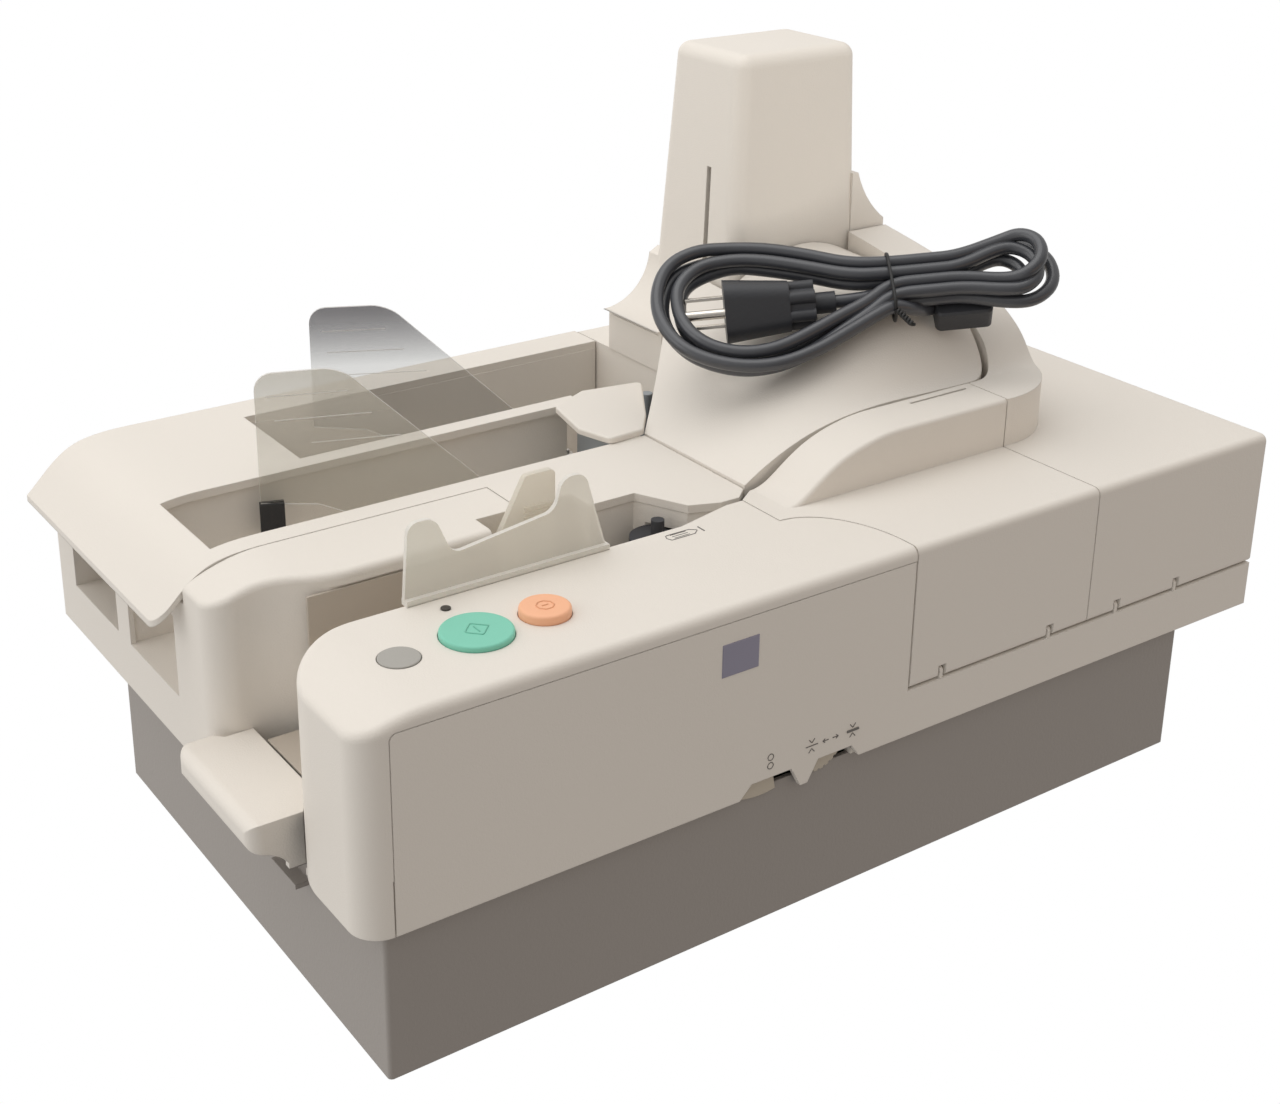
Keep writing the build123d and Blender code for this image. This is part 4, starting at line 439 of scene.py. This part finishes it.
def onSurface(piece, place, way):
    # where a line from outside first meets the piece
    hit, spot = nodes[piece].ray_cast(place, way)[:2]
    return spot if hit else place


def mark(name, piece, finish, spots, closed, wire):
    line = layCurve(name, spots + spots[:1] if closed else spots, wire / 1000, finish, 2)
    line.data.splines[0].order_u = 2        # straight from point to point
    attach(line, bodyOf(piece))


def topMark(name, piece, finish, points, closed=True, wire=0.22):
    down = Vector((0, 0, -1))
    spots = [onSurface(piece, at(x, y, rayFrom["above"]), down) for x, y in points]
    mark(name, piece, finish, spots, closed, wire)


def frontMark(name, points, closed=False, wire=0.22):
    inward = Vector((0, 1, 0))
    spots = [onSurface("front_plate", at(x, rayFrom["ahead"], z), inward) for x, z in points]
    mark(name, "front_plate", "printGrey", spots, closed, wire)


def ring(x, y, radius, corners, first=0.0):
    angles = [first + k * math.tau / corners for k in range(corners)]
    return [(x + radius * math.cos(a), y + radius * math.sin(a)) for a in angles]


startSign = {"place": (70.4, 37), "radius": 5.2, "corners": 4, "bar": 2.4, "wire": 0.3}
stopSign = {"place": (101, 37), "radius": 3.6, "corners": 8, "bar": 1.4, "wire": 0.3}


def buttonSigns():
    # a diamond with an upright bar, and an octagon with a level one, raised on the buttons; each is drawn as
    # lines in a darker copy of its button's colour, as painted shade
    x, y = startSign["place"]
    half, wire = startSign["bar"], startSign["wire"]
    topMark("start_mark", "start_button", "greenMark", ring(x, y, startSign["radius"], startSign["corners"]),
            wire=wire)
    topMark("start_bar", "start_button", "greenMark", [(x, y - half), (x, y + half)], closed=False, wire=wire)
    x, y = stopSign["place"]
    half, wire = stopSign["bar"], stopSign["wire"]
    corners = stopSign["corners"]
    topMark("stop_mark", "stop_button", "peachMark",
            ring(x, y, stopSign["radius"], corners, math.pi / corners), wire=wire)
    topMark("stop_bar", "stop_button", "peachMark", [(x - half, y), (x + half, y)], closed=False, wire=wire)


buttonSigns()

# nose and tail are how far the sheet's two ends run out to their points
feedSign = {"place": (188.0, 65.5), "long": 16.0, "wide": 4.8, "nose": 3, "tail": 1,
            "rows": (-1.4, 0.2, 1.8), "rowEnds": (3, 5), "rowWire": 0.18, "stopGap": 2, "stopWire": 0.3}


def feedSignMarks():
    # a document going in, face to the back
    x, y = feedSign["place"]
    half, tall = feedSign["long"] / 2, feedSign["wide"] / 2
    nose, tail = feedSign["nose"], feedSign["tail"]
    topMark("sign_sheet", "operator_housing", "printGrey",
            [(x - half + tail, y - tall), (x + half - nose, y - tall), (x + half, y),
             (x + half - nose, y + tall), (x - half + tail, y + tall), (x - half, y)])
    first, last = feedSign["rowEnds"]
    for row in feedSign["rows"]:
        topMark("sign_row_%d" % (row * 10), "operator_housing", "printGrey",
                [(x - half + first, y + row), (x + half - last, y + row)],
                closed=False, wire=feedSign["rowWire"])
    stop = x + half + feedSign["stopGap"]
    topMark("sign_stop", "operator_housing", "printGrey", [(stop, y - tall), (stop, y + tall)],
            closed=False, wire=feedSign["stopWire"])


feedSignMarks()

rollerSign = {"x": 186.5, "heights": (85.6, 89.6), "radius": 1.5, "corners": 12, "wire": 0.2}
for count, high in enumerate(rollerSign["heights"]):
    outline = ring(rollerSign["x"], high, rollerSign["radius"], rollerSign["corners"])
    frontMark("roller_mark_%d" % count, outline, closed=True, wire=rollerSign["wire"])

# bars for a thin and a thick sheet, arms that point at them, arrows between: x along, z up from the row
thickSign = {"row": 87.6, "thin": 208.5, "thick": 231.0, "bars": (("thin", 0.25), ("thick", 0.6)),
             "halfBar": 3.2, "arms": ((-1.5, 3.1), (0, 1.3), (1.5, 3.1)), "arrows": (216.0, 221.5),
             "shaft": (-1.6, 1.4), "tip": ((0.3, 0.9), (1.5, 0), (0.3, -0.9))}


def thickSignMarks():
    row = thickSign["row"]
    for key, bar in thickSign["bars"]:
        x = thickSign[key]
        frontMark(key + "_bar", [(x - thickSign["halfBar"], row), (x + thickSign["halfBar"], row)], wire=bar)
        for side in (-1, 1):
            frontMark("%s_arms_%d" % (key, side), [(x + dx, row + side * dz) for dx, dz in thickSign["arms"]])
    for side, x in zip((-1, 1), thickSign["arrows"]):
        frontMark("arrow_%d" % side, [(x + dx * side, row) for dx in thickSign["shaft"]])
        frontMark("arrow_tip_%d" % side, [(x + dx * side, row + dz) for dx, dz in thickSign["tip"]])


thickSignMarks()

badge = {"left": 159.6, "right": 178.0, "low": 134.4, "high": 148.9, "thick": 0.5, "corner": 0.15}


def badgePlate():
    # a bare plate where a maker's sign would sit
    mesh = bpy.data.meshes.new("badge_plate")
    form = bmesh.new()
    bmesh.ops.create_cube(form, size=1)
    wide, high = badge["right"] - badge["left"], badge["high"] - badge["low"]
    outside = at((badge["left"] + badge["right"]) / 2, rayFrom["ahead"], (badge["low"] + badge["high"]) / 2)
    centre = onSurface("front_plate", outside, Vector((0, 1, 0)))
    for vertex in form.verts:
        corner = vertex.co
        vertex.co = centre + Vector((corner.x * wide, corner.y * badge["thick"], corner.z * high)) / 1000
    bmesh.ops.bevel(form, geom=form.edges[:], offset=badge["corner"] / 1000, segments=2, affect="EDGES")
    form.to_mesh(mesh)
    form.free()
    piece = link("badge_plate", mesh)
    dress(piece, "badgeMetal")
    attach(piece, bodyOf("front_plate"))


badgePlate()
print("marks done")


# mains lead, tied in a hank over the covers; s runs along the hank, t across it and n out of it,
# in millimetres; the diameter is in metres
hank = {"left": (257.5, 189.2, 223.5), "right": (415.4, 80.8, 244.1), "low": (274.2, 124.9, 201.4),
        "diameter": 0.0064, "tieReach": 116.0, "runs": (135.0, 150.0),
        "foldTurns": (-110, -70, -25, 25, 70, 110),
        # how a strand passes over others in a fold; the last stations of the big loop, where the height
        # changes, and how far the last turn draws aside there
        "overSpread": 1.4, "overWithin": 90, "crossing": 5, "lastAside": -3.0,
        # how far a strand strays along s, t and n, and the stations of the big loop where it lies free
        "stray": (0.8, 0.8, 0.6), "free": (2, 11), "held": 0.25,
        # the big loop left of the tie, its outermost and innermost lay
        "outer": ((97, 7.5), (77, 16), (58, 22), (42, 24.6), (25, 24), (11, 17), (2.8, 2), (3.5, -17),
                  (12, -35), (26, -46), (43, -51.5), (60, -51), (78, -44), (93, -34), (105, -26)),
        "inner": ((98, -4.5), (76, 4), (58, 10), (44, 13), (31, 10.5), (22, 4), (18, -4), (18, -18),
                  (24, -29), (33, -35), (45, -38.5), (59, -36.5), (73, -29.5), (87, -22), (102, -16))}
# each turn: its places under the tie, its fold at the right end (centre, radius), its lay in the big loop
turns = (
    {"below": (-8.4, -3.3), "above": (-1.9, -3.3), "fold": (169.0, -5.2, 11.4), "share": 0.76, "over": 0.0},
    {"below": (-14.9, -3.3), "above": (4.6, -3.3), "fold": (177.0, -4.0, 18.6), "share": 0.24, "over": 0.0},
    {"below": (-14.9, 3.3), "above": (-1.9, 3.3), "fold": (173.5, -6.0, 13.6), "share": 0.70, "over": 0.0},
    {"below": (-8.4, 3.3), "above": (4.6, 3.3), "fold": (176.0, -0.5, 13.2), "share": 0.08, "over": 6.4},
)
# the middle of the plug's face, and the lead's first points behind its strain relief
plug = {"at": (36.0, -12.0, -2.0), "length": 31.0, "relief": 22.0,
        "leadOut": ((-1.5, 0.0, 0.0), (8, 0.0, 0.0), (17, 1.5, -0.6)), "metalFrom": 0.05}
# from under the tie down to the far connector
tail = ((116, -21.4, 3.0), (124, -21.2, -1.5), (131, -17.0, -8.5), (136, -12.5, -13.2), (138.5, -12, -13.8))

hankStart, hankEnd, hankLow = (at(*hank[k]) for k in ("left", "right", "low"))
alongHank = (hankEnd - hankStart).normalized()
outOfHank = (hankLow - hankStart).cross(hankEnd - hankStart).normalized()
acrossHank = outOfHank.cross(alongHank)


def onHank(s, t, n):
    return hankStart + (alongHank * s + acrossHank * t + outOfHank * n) / 1000


def foldPoints(turn):
    # round the right end of the hank
    foldS, foldT, radius = turn["fold"]
    points = []
    for degrees in hank["foldTurns"]:
        angle = math.radians(degrees)
        isOver = abs(degrees) < hank["overWithin"]
        lift = turn["over"] * math.cos(angle / hank["overSpread"]) if isOver else 0.0
        points.append(onHank(foldS + radius * math.cos(angle), foldT + radius * math.sin(angle),
                             turn["below"][1] + lift))
    return points


def loopPoints(turn, nextN, isLast):
    # round the big loop; the height changes to the next turn's over the last stations
    topN = turn["above"][1]
    strayS, strayT, strayN = hank["stray"]
    points = []
    for station, ((outS, outT), (inS, inT)) in enumerate(zip(hank["outer"], hank["inner"])):
        later = max(0.0, (station - len(hank["outer"]) + hank["crossing"]) / hank["crossing"])
        aside = hank["lastAside"] * later if isLast else 0.0
        loose = 1.0 if hank["free"][0] < station < hank["free"][1] else hank["held"]
        s = outS + (inS - outS) * turn["share"] + rng.uniform(-strayS, strayS) * loose
        t = outT + (inT - outT) * turn["share"] + aside + rng.uniform(-strayT, strayT) * loose
        n = topN + (nextN - topN) * later + rng.uniform(-strayN, strayN) * loose
        points.append(onHank(s, t, n))
    return points


def leadPoints():
    plugS, plugT, plugN = plug["at"]
    plugEnd = plugS + plug["length"] + plug["relief"]
    points = [onHank(plugEnd + s, plugT + t, plugN + n) for s, t, n in plug["leadOut"]]
    for number, turn in enumerate(turns):
        (lowT, lowN), (topT, topN) = turn["below"], turn["above"]
        isLast = number + 1 == len(turns)
        nextN = tail[0][2] if isLast else turns[number + 1]["below"][1]
        points += [onHank(s, lowT, lowN) for s in (hank["tieReach"], *hank["runs"])]
        points += foldPoints(turn)
        points += [onHank(s, topT, topN) for s in (*reversed(hank["runs"]), hank["tieReach"])]
        points += loopPoints(turn, nextN, isLast)
    return points + [onHank(*spot) for spot in tail]


leadLine = leadPoints()
lead = layCurve("power_lead", leadLine, hank["diameter"] / 2, "cordBlack", 6)
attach(lead, "corner_cover")
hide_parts("power_cord_hank")


def curveLength(piece):
    bare = piece.data.copy()
    bare.bevel_depth = 0
    probe = link("probe", bare)
    path = bpy.data.meshes.new_from_object(probe)
    spots = [v.co.copy() for v in path.vertices]
    bpy.data.objects.remove(probe)
    bpy.data.curves.remove(bare)
    bpy.data.meshes.remove(path)
    return sum((b - a).length for a, b in zip(spots, spots[1:]))


leadLength = curveLength(lead)
print("lead laid, metres:", round(leadLength, 3))


# a flat loop of wire with round corners, and its two ends twisted together; millimetres, the wire in metres
tie = {"centre": -8.0, "width": 35.0, "depth": 16.5, "corner": 6.0, "cornerSteps": 4, "wire": 0.0008}
twist = {"foot": (0.5, 4.0), "steps": 22, "turn": 0.9, "radius": 0.9, "down": 0.55, "along": 0.25,
         "out": 0.12}


def tieUp():
    half, deep, corner = tie["width"] / 2, tie["depth"] / 2, tie["corner"]
    outline = []
    for t, n, first in ((half - corner, deep - corner, 0), (corner - half, deep - corner, 90),
                        (corner - half, corner - deep, 180), (half - corner, corner - deep, 270)):
        for step in range(tie["cornerSteps"]):
            angle = math.radians(first + step * 90 / (tie["cornerSteps"] - 1))
            outline.append((t + corner * math.cos(angle), n + corner * math.sin(angle)))
    loop = [onHank(hank["tieReach"], tie["centre"] + t, n) for t, n in outline + outline[:2]]
    pieces = [layCurve("tie_loop", loop, tie["wire"], "tieBlack", 3)]
    footS, footN = twist["foot"]
    for side in (0, 1):
        end = []
        for step in range(twist["steps"]):
            angle = step * twist["turn"] + side * math.pi
            end.append(onHank(
                hank["tieReach"] + footS + twist["along"] * step + twist["radius"] * math.cos(angle),
                tie["centre"] - half - twist["down"] * step,
                footN + twist["radius"] * math.sin(angle) + twist["out"] * step))
        pieces.append(layCurve("tie_tail_%d" % side, end, tie["wire"], "tieBlack", 3))
    return pieces


tiePieces = tieUp()
for piece in tiePieces:
    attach(piece, "corner_cover")
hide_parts("twist_tie")


def plugMetal():
    # blades and pin in front of the plug's face
    piece = nodes["power_plug"]
    dress(piece, "plugBlack", "nickel")
    face = onHank(*plug["at"])
    for polygon in piece.data.polygons:
        if (polygon.center - face).dot(alongHank) < -plug["metalFrom"] / 1000:
            polygon.material_index = 1


plugMetal()
print("tie and plug done")
